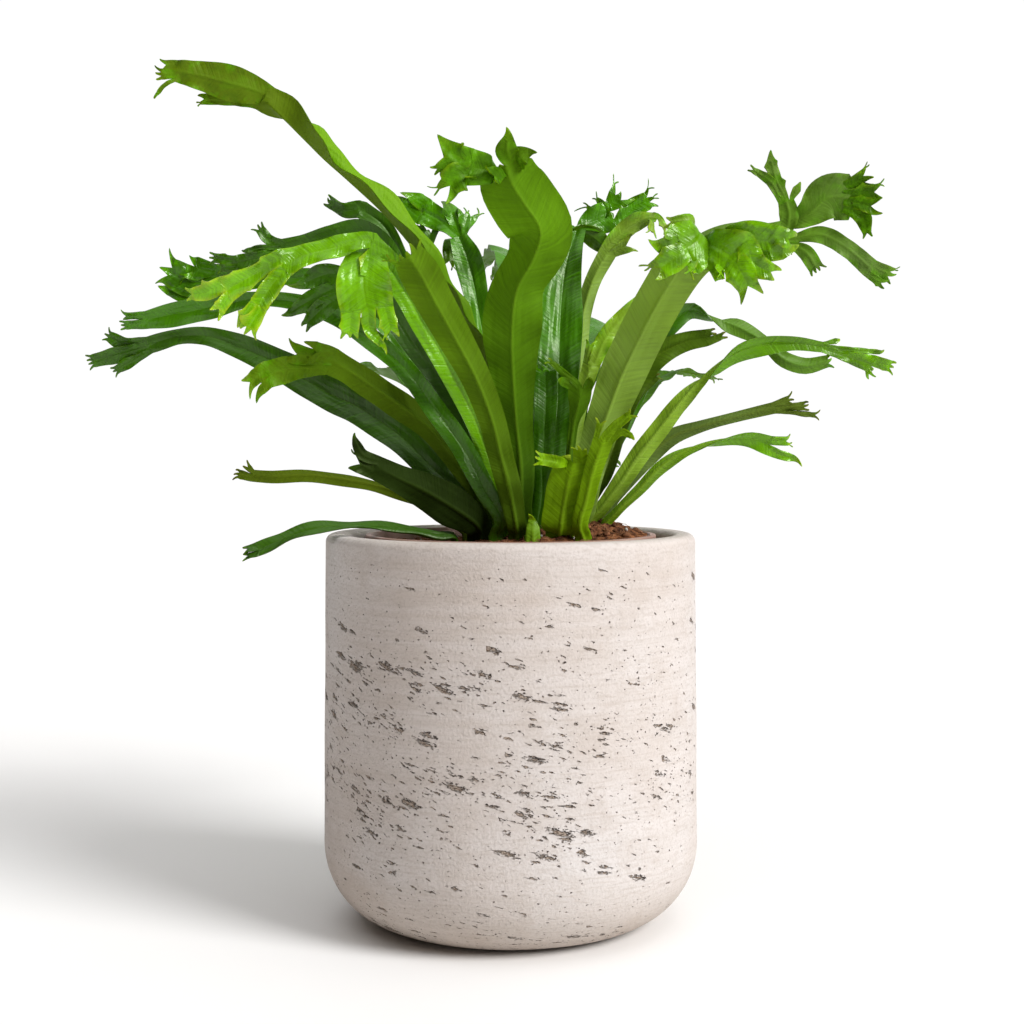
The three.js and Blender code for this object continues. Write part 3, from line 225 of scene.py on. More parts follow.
# Fronds that the photo shows. Each is: name, root [x, y], tone, fold in degrees, run.
# A run is its stations and then its end: a count of fingers, or a list of the runs that grow from it.
# A station is [column, row, depth, width, face]: a pixel of the photo, then how far behind the pot's axis
# the rib lies there and how wide the blade is, both in mm, and the angle by which the top side turns from
# the viewer, 180 being the underside. A station without a face keeps the one before it.
FRONDS = [
    ["long_left", [-1, -2], "olive", 40, [[508, 490, -7, 7, 75], [498, 420, -10, 10, 78],
      [479, 350, -14, 12, 80], [449, 298, -19, 14, 78], [412, 245, -23, 18, 70], [385, 214, -26, 20],
      [350, 181, -29, 15, 72], [325, 159, -31, 16], [309, 143, -33, 25, 76], [289, 123, -35, 19, 120],
      [264, 99, -37, 15.5, 172],
      [[[230, 83, -39, 15, 180], [198, 75, -41, 11.5], [177, 71, -42, 9, 184],
        [[[166, 65, -43, 4], 2], [[161, 74, -43, 4.5], 3],
         [[166, 84, -43, 1.6], [157, 94, -43, 1.3], 1]]],
       [[222, 99, -36, 5, 182], [204, 99, -36, 4.5, 184], 2]]]],
    ["middle_tall", [7, -13], "olive", 8, [[524, 520, -15, 8, 180], [521, 470, -18, 12],
      [516, 420, -22, 15], [513, 375, -27, 20], [512, 330, -33, 26], [517, 290, -38, 26],
      [534, 258, -43, 27], [541, 233, -46, 28], [524, 203, -49, 29], [511, 182, -51, 27],
      [506, 167, -52, 23],
      [[[487, 170, -57, 12, 0], [470, 167, -60, 15],
        [[[459, 157, -62, 12], [450, 149, -62, 7.5], 1], [[449, 163, -62, 6], [437, 169, -62, 3.2], 2],
         [[459, 176, -62, 12], [450, 186, -62, 9], 2], [[471, 178, -61, 5], 1]]],
       [[494, 176, -59, 8, 0], 2], [[507, 149, -55, 9.5], [508.5, 139, -56, 5], 1],
       [[520, 156, -54, 9], [527, 152.5, -54, 5], 1]]]],
    ["back_glossy", [15, 2], "glossy", 12, [[546, 500, 6, 9, 0], [553, 450, 12, 14], [557, 410, 18, 17],
      [559, 365, 24, 20], [560, 325, 30, 22], [563, 285, 36, 18], [570, 250, 42, 12],
      [577, 229, 47, 9, 350],
      [[[594, 221, 50, 13], [611, 216, 52, 15],
        [[[598, 208, 53, 9], 2], [[618, 198, 53, 11], 3], [[634, 208, 53, 10], [648, 200, 53, 8], 3]]],
       [[590, 235, 49, 10, 200], [605, 248, 49, 8], 3]]]],
    ["right_wide", [27, -11], "pale", 8, [[580, 520, -13, 9, 180], [588, 480, -16, 12],
      [598, 440, -20, 15], [612, 402, -25, 18], [621, 378, -28, 20], [634, 350, -32, 20],
      [650, 318, -36, 20], [667, 288, -41, 20], [684, 262, -46, 21], [704, 240, -50, 22, 172],
      [[[690, 222, -53, 6, 180], [671, 222, -54, 4], 2],
       [[696, 242, -59, 20, 0], [684, 250, -61, 23],
        [[[671, 246, -63, 10], [660, 246, -63, 6], 1], [[672, 260, -63, 11], [661, 268, -63, 9], 2],
         [[688, 266, -62, 8], 2]]],
       [[724, 251, -61, 20, 0], [733, 257, -62, 24],
        [[[722, 270, -63, 8], 2], [[742, 274, -64, 12], [748, 286, -64, 9], 2],
         [[756, 265, -63, 10], [771, 272, -63, 7], 2]]],
       [[747, 238, -59, 14, 0], [772, 243, -60, 15],
        [[[788, 239, -60, 8], 2], [[782, 251, -60, 7], 1]]]]]],
    ["front_left", [3, -20], "olive", 10, [[517, 530, -22, 8, 180], [512, 500, -25, 10],
      [502, 460, -29, 11], [492, 420, -34, 12], [477, 380, -39, 13], [456, 340, -44, 15],
      [434, 300, -50, 16.5], [419, 272, -55, 17], [409, 257, -58, 14], 5]],
    ["bright_left", [-1, -9], "bright", 10, [[508, 512, -11, 7, 0], [492, 468, -14, 8],
      [477, 425, -18, 9], [459, 388, -22, 10], [439, 350, -26, 11], [420, 318, -30, 11],
      [404, 290, -34, 11], [386, 266, -39, 14, 10], [366, 255, -43, 20, 20],
      [[[365, 268, -44.5, 20, 0], [364, 286, -46, 23], [367, 308, -47, 22],
        [[[350, 333, -47, 7], 3], [[371, 332, -47, 5], [383, 345, -48, 2.4], 1],
         [[391, 330, -48, 6], 2]]],
       [[330, 249, -46, 9.5], [302, 256, -48, 9.5], [284, 263, -50, 12, 10],
        [[[254, 274, -51, 7.5, 350], [226, 289, -52, 11.5, 345],
          [[[206, 292, -53, 7.5, 340], [192, 294, -53, 5], 2], [[219, 309, -53, 6, 340], 2]]],
         [[272, 286, -51, 8], [259, 306, -52, 8],
          [[[243, 318, -53, 4.5], 1], [[249, 328, -53, 7.5], 3]]]]]]]],
    ["low_left", [-14, 2], "dark", 12, [[472, 507, 4, 8, 20], [441, 477, 8, 13, 15],
      [400, 436, 13, 17, 10], [363, 410, 18, 18], [326, 392, 24, 17], [283, 367, 30, 15, 5],
      [240, 347, 36, 12], [205, 336, 40, 9, 0], [178, 336, 42, 8, 345], [150, 344, 43, 9, 340],
      [[[122, 343, 44, 7], [109, 336, 44, 5], 3], [[115, 355, 43, 8], [92, 361, 42, 6], 4],
       [[128, 363, 42, 5], [116, 370, 42, 4], 3]]]],
    ["olive_crest", [-8, -5], "olive", 12, [[485, 505, -6, 7, 190], [462, 470, -7, 9], [435, 433, -8, 11],
      [405, 408, -10, 13], [378, 390, -14, 13], [350, 371, -20, 12], [334, 362, -24, 13],
      [[[300, 367, -28, 10], [268, 374, -32, 12], [[[250, 382, -33, 6], 2], [[262, 390, -33, 4], 1]]],
       [[317, 352, -27, 9], 2], [[297, 354, -29, 9], 2]]]],
    ["upper_left", [-2, 9], "dark", 12, [[502, 490, 13, 7, 0], [480, 430, 17, 9], [450, 370, 21, 9],
      [420, 310, 25, 9], [400, 275, 27, 9], [385, 248, 29, 11], [362, 233, 31, 13], [330, 236, 33, 10],
      [303, 244, 34, 9], [284, 248, 34, 9],
      [[[268, 239, 34, 5], [260, 229, 34, 4.5], 3], [[258, 248, 34, 2.6], [246, 251, 34, 2], 1],
       [[256, 259, 34, 7], [236, 263, 34, 7], [[[214, 258, 34, 4.5], 3], [[222, 268, 34, 3.5], 2]]]]]],
    ["star_left", [-5, 3.5], "dark", 8, [[488, 482, 1, 8, 10], [464, 420, -1, 10], [439, 378, -3, 10],
      [415, 345, -6, 11, 5], [392, 312, -9, 13, 0], [366, 291, -12, 15], [343, 286, -14, 17],
      [[[318, 277, -15, 10], [304, 284, -15, 5], 1], [[308, 302, -15, 8], [290, 313, -15, 3.5], 1],
       [[322, 309, -15, 9], [307, 324, -15, 4.5], 2]]]],
    ["thin_olive", [-19, -3], "brown", 12, [[450, 520, -5, 5, 200], [430, 506, -6, 5],
      [400, 493, -6, 6, 205], [354, 481, -7, 6, 215], [310, 475, -8, 7, 210], [270, 476, -9, 6, 205],
      [254, 475, -10, 6, 200],
      [[[248, 467, -10, 3], 2], [[239, 474, -10, 4], 3]]]],
    # wide_low takes the near-black deep tone: painted shade for a frond that lies in the shade of the fronds
    # above it.
    ["wide_low", [-13, -12], "deep", 12, [[478, 526, -17, 12, 170], [452, 507, -21, 18, 175],
      [427, 492, -24, 16, 180], [402, 480, -27, 13, 185], [378, 468, -30, 11, 190],
      [[[362, 454, -32, 5], [355, 440, -33, 2.6], 1], [[360, 464, -32, 8], 2]]]],
    ["over_the_rim", [-24, -13], "dark", 8, [[436, 536, -20, 6, 58], [412, 530.5, -22, 6.5, 62],
      [385, 527.5, -25, 7], [350, 526.5, -28, 7.5], [326, 527.5, -29, 8, 58], [300, 533, -29, 8, 50],
      [275, 543, -28, 8, 45], [259, 550, -27, 7, 40],
      [[[248, 549, -27, 3.5], 2], [[248, 556, -27, 3], 2]]]],
    ["antler_right", [24, 7], "olive", 12, [[584, 500, 11, 6, 180], [601, 440, 17, 7], [622, 385, 23, 8],
      [648, 330, 29, 9], [675, 280, 34, 9], [705, 240, 38, 8], [736, 229, 39, 7, 170],
      [768, 232, 39, 9, 172], [789, 233, 39, 14, 180],
      [[[789, 216, 39, 9], [786, 201, 39, 7.5],
        [[[770, 181, 39, 4.5], [753, 170, 39, 2.6], 2], [[775, 177, 39, 5.5], [771, 160, 39, 4], 1],
         [[797, 189, 39, 4], 1]]],
       [[809, 213, 37, 13], [828, 198, 35, 21], [849, 197, 34, 21],
        [[[864, 179, 33, 9, 10], 3], [[874, 192, 32, 8, 20], 2], [[871, 206, 32, 8, 350], 2],
         [[862, 216, 33, 8, 0], [867, 233, 32, 4], 2]]],
       [[822, 235, 39, 8], [848, 249, 39, 8], [870, 268, 39, 9],
        [[[889, 274, 39, 7], 3], [[881, 283, 39, 4], 2]]],
       [[805, 252, 40, 7], [816, 268, 40, 7], 4]]]],
    ["narrow_hook", [20, 14], "pale", 12, [[570, 490, 19, 5, 180], [575, 430, 25, 6], [580, 370, 33, 7],
      [584, 310, 40, 8], [594, 278, 42, 8], [608, 252, 43, 9],
      [[[620, 234, 43, 8, 178], [638, 221, 42, 8, 170], [655, 217, 40, 5, 150],
        [[[652, 231, 36, 4], 3], [[666, 228, 37, 3], 2]]],
       [[626, 246, 42, 7], 2]]]],
    ["long_right", [34, -4], "pale", 14, [[600, 510, -5, 6, 180], [621, 482, -6, 8], [643, 450, -7, 9],
      [662, 426, -8, 9], [680, 403, -9, 8], [697, 384, -10, 7, 140], [715, 367, -11, 9, 70],
      [738, 352, -12, 10, 35], [764, 345, -12, 9, 20], [792, 343, -12, 7, 10], [822, 347, -12, 5, 0],
      [[[836, 341, -12, 2.6], 1], [[852, 350, -12, 2.4], [880, 352, -12, 1.8], 1],
       [[848, 357, -12, 5], [872, 364, -12, 8], [[[890, 366, -12, 5], 3], [[869, 374, -12, 3], 2]]]]]],
    ["olive_right", [40, 3], "brown", 12, [[608, 508, 3, 5, 180], [628, 480, 3, 7], [648, 455, 2, 10],
      [672, 437, 1, 8], [702, 426, 0, 5.5], [740, 416, -1, 5], [773, 408, -2, 5.5],
      [[[789, 400, -2, 4], 3], [[804, 406, -2, 4], 3], [[815, 415, -2, 2.4], 2]]]],
    ["lowest_right", [41, -9], "bright", 12, [[616, 513, -11, 4, 180], [640, 489, -13, 5],
      [662, 466, -15, 6, 165], [690, 449, -17, 6, 130], [722, 440, -19, 7, 60], [752, 439, -20, 8, 30],
      [768, 444, -20, 9, 20],
      [[[786, 441, -20, 4, 10], 2], [[781, 455, -20, 4, 10], [793, 458, -20, 3], 1]]]],
    ["dark_right", [26.5, -2], "brown", 10, [[603, 480, 3, 6, 0], [621, 422, 7, 8], [640, 378, 11, 10],
      [660, 354, 13, 11], [688, 341, 14, 9], [705, 338, 14, 8],
      [[[711, 332, 14, 3], 2], [[722, 336, 14, 3], 2]]]],
    ["small_right", [33, 5], "brown", 10, [[608, 470, 9, 5, 0], [622, 425, 14, 6], [637, 392, 18, 7],
      [655, 376, 20, 5], 3]],
    ["front_short", [21, -25], "young", 8, [[560, 532, -27, 14.5, 180], [564, 505, -30, 17],
      [569, 480, -33, 17], [574, 463, -35, 14, 178],
      [[[557, 462, -41, 5, 0], [540, 459, -43, 5], 3], [[580, 451, -38, 6, 180], 3]]]],
    ["front_curly", [31, -29], "young", 10, [[580, 528, -31.5, 7, 180], [586, 500, -34.5, 7.5],
      [594, 468, -38.5, 8], [603, 441, -41, 9],
      [[[617, 425, -43, 4], [630, 415, -45, 3.2], 2], [[623, 432, -43, 3], [631, 436, -44, 2.4], 1],
       [[600, 424, -43, 2.6], 2]]]],
    ["hanging_tip", [24, -18], "olive", 8, [[567, 520, -19, 3.5, 180], [569, 480, -20, 4],
      [571, 445, -21, 4], [575, 418, -23, 5], [579, 402, -26, 9.5], [580, 389, -28, 10.5],
      [[[565, 374, -30, 2.8], [551, 362, -31, 2], 2], [[563, 381, -30, 4], 1], [[590, 382, -29, 4], 1]]]],
    ["young_short", [9, -26], "bright", 10, [[533, 545, -28, 6.2, 180], [533, 537, -28, 6.4],
      [533, 530, -28, 5.8], [532.6, 525, -28, 5.2], [532.4, 521.8, -28, 4], 1]],
    ["glossy_left", [6, 5], "glossy", 14, [[512, 490, 9, 6, 0], [500, 430, 13, 7], [489, 370, 19, 8],
      [481, 325, 23, 9], [474, 285, 28, 13], [468, 260, 31, 14], [459, 238, 34, 9],
      [[[440, 221, 36, 10, 10], [424, 212, 37, 13],
        [[[403, 204, 38, 6], [390, 198, 38, 3], 1], [[416, 199, 38, 7], 1]]],
       [[451, 212, 37, 8, 10], 1], [[467, 216, 37, 10, 10], 3],
       [[450, 247, 40, 7, 180], [449, 261, 40, 5], 2]]]],
    ["far_left", [-10, 9], "glossy", 12, [[472, 470, 15, 8, 10], [440, 405, 21, 10], [403, 345, 29, 11],
      [362, 300, 36, 11], [320, 279, 42, 9], [280, 278, 46, 8], [246, 281, 49, 10], [218, 281, 51, 16],
      [[[196, 269, 52, 12], 2], [[188, 281, 52, 15], [170, 272, 52, 13], 3],
       [[192, 295, 52, 10], [168, 290, 52, 5], 1]]]],
    ["green_left", [-6, -18], "glossy", 12, [[502, 525, -20, 7, 0], [485, 490, -20, 9],
      [462, 447, -19, 10], [432, 405, -16, 10], [408, 372, -12, 9], [372, 340, -5, 10], [340, 317, 1, 10],
      [300, 303, 6, 8], [255, 299, 11, 7], [210, 307, 15, 11, 350], [178, 313, 17, 12],
      [148, 319, 18, 9, 340],
      [[[126, 316, 18, 3.5], 2], [[125, 325, 18, 4], 3]]]],
    ["narrow_right", [19, -5], "pale", 12, [[572, 500, -3, 5, 180], [574, 450, -1, 6], [580, 405, 1, 7],
      [591, 366, 2, 8],
      [[[606, 338, 3, 8], [622, 318, 4, 7], [639, 301, 5, 5], 2], [[590, 345, 2, 3.5], 2]]]],
    ["blunt_glossy", [12, -5], "glossy", 10, [[541, 505, -4, 7, 0], [543, 460, -3, 9], [545, 420, -2, 10],
      [546, 390, 0, 10.5], [546, 372, 1, 9.5], 3]],
    ["behind_right", [33, 12], "glossy", 12, [[600, 480, 20, 5, 0], [625, 425, 29, 6], [650, 370, 37, 7],
      [670, 326, 40, 9], [690, 310, 40, 9, 20], [713, 318, 40, 7, 90], [740, 328, 40, 9, 165],
      [764, 342, 39, 6, 180], [785, 360, 37, 8], [805, 366, 37, 8], [828, 361, 37, 6], 3]],
    ["curled_tip", [-6, 19], "dark", 12, [[492, 480, 20, 5, 0], [458, 400, 26, 6], [428, 320, 32, 7],
      [402, 262, 37, 8], [382, 224, 40, 8], [362, 210, 41, 9],
      [[[344, 210, 41, 7, 340], [330, 202, 41, 6], 3]]]],
    ["dark_stalk", [4, 12], "dark", 10, [[506, 490, 16, 5, 0], [482, 420, 22, 5], [454, 340, 29, 6],
      [432, 280, 34, 6], [425, 252, 36, 6], [431, 233, 37, 6],
      [[[420, 226, 38, 3], 2], [[438, 226, 38, 3], 2]]]],
]

# Fronds that the photo's view doesn't reach. Each is: root [x, y], direction in degrees from +X, length,
# rise at the root, rise at the tip, width, tone.
REAR_FRONDS = [
    [[12, 12], 96, 215, 74, -8, 24, "glossy"],
    [[1, 21], 106, 190, 64, -22, 22, "olive"],
    [[12, 22], 88, 205, 60, -20, 24, "dark"],
    [[24, 21], 76, 190, 66, -25, 22, "glossy"],
    [[-9, 22], 128, 120, 58, 8, 17, "glossy"],
    [[32, 21], 58, 115, 60, 6, 17, "olive"],
    [[6, 30], 98, 165, 40, -30, 20, "dark"],
    [[18, 30], 82, 170, 38, -28, 20, "glossy"],
]
REAR_FOLD = 12
REAR_STATIONS = 7
REAR_TWIST = 20
REAR_CREST_WIDTH = 1.05
REAR_FINGERS = 4
# Their lobes, as ranges [least, span]: length, rise from the frond's own, spread, share of the width
REAR_LOBE = [20, 10]
REAR_LOBE_RISE = [-25, 30]
REAR_LOBE_SPREAD = [0.75, 0.3]
REAR_LOBE_SHARE = [0.38, 0.12]

# Leaf colours of each tone: top side, underside, rib of the underside, tips. Then the top side's roughness,
# how yellow the light through the leaf is, how much painted shade darkens the leaf's foot, and how strongly
# its crest is dappled with painted light and painted shade.
TONES = {
    "olive": [(0.065, 0.19, 0.001), (0.10, 0.235, 0.001), (0.17, 0.33, 0.012), (0.26, 0.42, 0.006),
              0.36, 0.45, 0.85, 0.65],
    "pale": [(0.11, 0.28, 0.001), (0.23, 0.39, 0.014), (0.30, 0.47, 0.04), (0.40, 0.58, 0.01),
             0.2, 0.45, 0.0, 0.75],
    "glossy": [(0.065, 0.23, 0.001), (0.09, 0.21, 0.002), (0.12, 0.30, 0.01), (0.20, 0.40, 0.006),
               0.16, 0.45, 0.7, 0.6],
    "bright": [(0.15, 0.39, 0.002), (0.20, 0.40, 0.004), (0.30, 0.48, 0.02), (0.52, 0.66, 0.02),
               0.16, 0.45, 0.2, 0.2],
    "dark": [(0.042, 0.135, 0.001), (0.055, 0.12, 0.001), (0.09, 0.18, 0.005), (0.15, 0.30, 0.006),
             0.24, 0.25, 0.6, 0.5],
    # The deep tone is painted shade: near-black leaf colours for a frond that lies in shade.
    "deep": [(0.012, 0.034, 0.001), (0.014, 0.032, 0.001), (0.03, 0.06, 0.002), (0.05, 0.11, 0.003),
             0.42, 0.02, 0.5, 0.4],
    "brown": [(0.06, 0.12, 0.002), (0.10, 0.15, 0.003), (0.16, 0.21, 0.012), (0.19, 0.13, 0.015),
              0.4, 0.3, 0.5, 0.5],
    "young": [(0.18, 0.37, 0.001), (0.20, 0.38, 0.002), (0.28, 0.46, 0.02), (0.50, 0.62, 0.03),
              0.36, 0.45, 0.1, 0.2],
}
GLOSSY_BELOW = 0.31

# How far some fronds go to another colour: undersides browned or faded, a top side lusher
CASTS = {
    "sere": {"long_left": 0.75, "front_left": 0.3, "olive_crest": 0.5},
    "faded": {"right_wide": 0.35, "antler_right": 0.7, "narrow_hook": 0.4,
              "olive_right": 0.6, "small_right": 0.4},
    "fresh": {"long_left": 0.9},
}
CAST_COLOURS = {"sere": (0.115, 0.165, 0.004), "faded": (0.19, 0.30, 0.08), "fresh": (0.19, 0.42, 0.002)}


def unit(vector):
    return vector / (np.linalg.norm(vector) or 1)


def smooth(t):
    k = np.clip(t, 0, 1)
    return k * k * (3 - 2 * k)


def between(ends, t):
    return ends[0] + (ends[1] - ends[0]) * t


def draw(seed):
    """A repeatable draw between 0 and 1."""
    return (math.sin(seed * 12.9898) * 43758.5453) % 1


def spanned(span, chance):
    """A value from a range [least, span]."""
    return span[0] + span[1] * chance


def seen_at(column, row, depth):
    """The point that the photo shows at a column and row, at a chosen depth behind the pot's axis."""
    across = (column - MIDDLE[0]) / FOCAL
    rise = (MIDDLE[1] - row) / FOCAL
    ahead = math.cos(TILT) + rise * math.sin(TILT)
    ray = np.array([across, ahead, rise * math.cos(TILT) - math.sin(TILT)])
    return EYE + ray * (depth - EYE[1]) / ray[1]


def hump(x, y, place, reach):
    """1 at a place, falling off round it."""
    away = math.hypot(x - place[0], y - place[1]) / reach
    return math.exp(-away * away)


def soil_height(x, y):
    """The plain heap, as the stalks meet it."""
    lump = math.sin(x * 0.61 + 1.3) * math.cos(y * 0.53) + math.sin(x * 0.23 - y * 0.37)
    return SOIL_EDGE + SOIL_HEAP * hump(x, y, SOIL_HEAP_PLACE, SOIL_HEAP_REACH) + SOIL_LUMP * lump / 2


def make_object(name, points, faces, uv=None, marks=None):
    """A mesh object from points in mm, with a UV map in mm and named marks on its points."""
    mesh = bpy.data.meshes.new(name)
    mesh.from_pydata((np.asarray(points) * MM).tolist(), [], faces)
    if uv is not None:
        layer = mesh.uv_layers.new(name="UVMap")
        corners = np.zeros(len(mesh.loops), dtype=np.int32)
        mesh.loops.foreach_get("vertex_index", corners)
        layer.data.foreach_set("uv", np.asarray(uv, dtype=np.float32)[corners].ravel())
    for mark, values in (marks or {}).items():
        layer = mesh.attributes.new(mark, "FLOAT", "POINT")
        layer.data.foreach_set("value", np.asarray(values, dtype=np.float32))
    mesh.shade_smooth()
    made = bpy.data.objects.new(name, mesh)
    bpy.context.scene.collection.objects.link(made)
    return made


def finish(made, surface, node=None):
    """Gives a piece its material and ties it to the body, and hides the imported part of the node that it
    stands for.
    """
    made.data.materials.append(surface)
    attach(made, "root")
    if node:
        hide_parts(node)


# Leaf shapes


def across_at(place, along, face):
    """Across-the-blade direction, from the run's direction and the station's face angle."""
    view = unit(place - EYE)
    side = unit(np.cross(along, view))
    toward = np.cross(along, side)
    return side * math.cos(math.radians(face)) + toward * math.sin(math.radians(face))


def knots_of(run, before=None, face=0):
    """Knots [x, y, z, width, across x, y, z] of a run's stations, and its end, whose runs get theirs too."""
    *stations, end = run
    places = [seen_at(*station[:3]) for station in stations]
    knots = []
    for i, station in enumerate(stations):
        start = places[i - 1] if i else (places[0] if before is None else before)
        stop = places[min(i + 1, len(places) - 1)]
        face = station[4] if len(station) > 4 else face
        across = across_at(places[i], unit(stop - start), face)
        knots.append(np.concatenate([places[i], [station[3]], across]))
    if not isinstance(end, int):
        end = [knots_of(lobe, places[-1], face) for lobe in end]
    return knots, end


class Row:
    """A place on a run: its rib's point, its width, its three directions and how far along it lies."""

    def __init__(self, centre, width, along, across, run):
        self.centre = centre
        self.width = width
        self.along = along
        self.across = across
        self.up = np.cross(along, across)
        self.run = run


def rows_along(knots, step, first_slope):
    """A smooth run through knots, as rows at even steps of length."""
    knots = np.array(knots)
    gaps = np.linalg.norm(np.diff(knots[:, :3], axis=0), axis=1)
    chords = np.diff(knots, axis=0) / gaps[:, None]
    slopes = np.vstack([chords[:1], chords])
    for i in range(1, len(gaps)):
        t = gaps[i - 1] / (gaps[i - 1] + gaps[i])
        slopes[i] = chords[i - 1] * (1 - t) + chords[i] * t
    slopes[0, :3] = first_slope
    fine = [knots[0]]
    for i, gap in enumerate(gaps):
        for j in range(1, RUN_PARTS + 1):
            t = j / RUN_PARTS
            fine.append(
                knots[i] * (2 * t**3 - 3 * t**2 + 1)
                + slopes[i] * (t**3 - 2 * t**2 + t) * gap
                + knots[i + 1] * (3 * t**2 - 2 * t**3)
                + slopes[i + 1] * (t**3 - t**2) * gap
            )
    fine = np.array(fine)
    run = np.concatenate([[0], np.cumsum(np.linalg.norm(np.diff(fine[:, :3], axis=0), axis=1))])
    want = np.linspace(0, run[-1], max(2, round(run[-1] / step)) + 1)

    def at(lengths, columns):
        return np.stack([np.interp(lengths, run, fine[:, k]) for k in columns], axis=1)

    value = at(want, range(7))
    ahead = at(want + RUN_REACH, range(3))
    behind = at(want - RUN_REACH, range(3))
    rows = []
    for k, length in enumerate(want):
        along = unit(ahead[k] - behind[k])
        lean = value[k, 4:7]
        across = unit(lean - along * np.dot(lean, along))
        rows.append(Row(value[k, :3], max(ROW_LEAST_WIDTH, value[k, 3]), along, across, length))
    return rows


def row_points(row, places, fold, phase, ruffle=0, teeth=0):
    """Points across a row; a place is -1 at one edge, 0 at the rib and 1 at the other edge."""
    c = np.asarray(places)
    far = np.abs(c)
    half = row.width / 2
    lag = np.where(c > 0, 0, WAVE_LAG)
    uneven = WAVE_DRIFT[0] * math.sin(row.run / WAVE_DRIFT[1] + phase)
    grown = smooth(row.run / WAVE_LENGTH) * min(1, row.width / WAVE_WIDTH)
    wave = WAVE * grown * far * np.sin(2 * math.pi * (row.run + phase) / WAVE_LENGTH + lag + uneven)
    curl = 2 * math.pi * row.run / RUFFLE_LENGTH + phase * RUFFLE_SHIFT[0] + RUFFLE_SHIFT[1] * lag + uneven
    wave = wave + ruffle * c * c * np.sin(curl)
    crease = np.sqrt(c * c + CREASE_ROUND) - CREASE_DROP
    rise = half * math.sin(math.radians(fold)) * crease + CROWN * half * np.sin(math.pi * far) + wave
    reach = c * half * math.cos(math.radians(fold))
    if teeth:
        out = [tooth(row.run, phase, side) * teeth for side in (0, 1)]
        zone = smooth((far - TOOTH_ZONE[0]) / TOOTH_ZONE[1])
        reach = reach + np.sign(c) * np.where(c > 0, out[1], out[0]) * zone
    return row.centre + np.outer(reach, row.across) + np.outer(rise, row.up)


def tooth(run, phase, side):
    """How far a lobe's margin reaches out in teeth that sweep forward, at uneven places."""
    cell = math.floor(run / TOOTH_SPACING)
    chance = draw(cell * 5.3 + phase * 1.9 + side * 0.7)
    place = (cell + TOOTH_PLACE[0] + TOOTH_PLACE[1] * draw(chance * 71)) * TOOTH_SPACING
    back = (place - run) / TOOTH_BASE
    near = max(0, 1 + TOOTH_BACK * back if back < 0 else 1 - back)
    return between(TOOTH, draw(chance * 13)) * near ** TOOTH_POWER if chance < TOOTH_SHARE else 0


def columns(width, outer):
    """Places across a row that are close together at the rib and at the margin."""
    rib = RIB_PLACES / (width / 2)
    rib = rib * min(1, RIB_SHARE / rib[-1])
    rest = np.linspace(rib[-1], MARGIN_PLACE, outer + 1)[1:]
    half = np.concatenate([rib, rest, [1]])
    return np.concatenate([-half[::-1], [0], half])


def ridge(c, width):
    """How much of the rib's height each place across a row has."""
    return 1 - smooth(np.abs(c) * width / 2 / RIB_HALF_WIDTH)


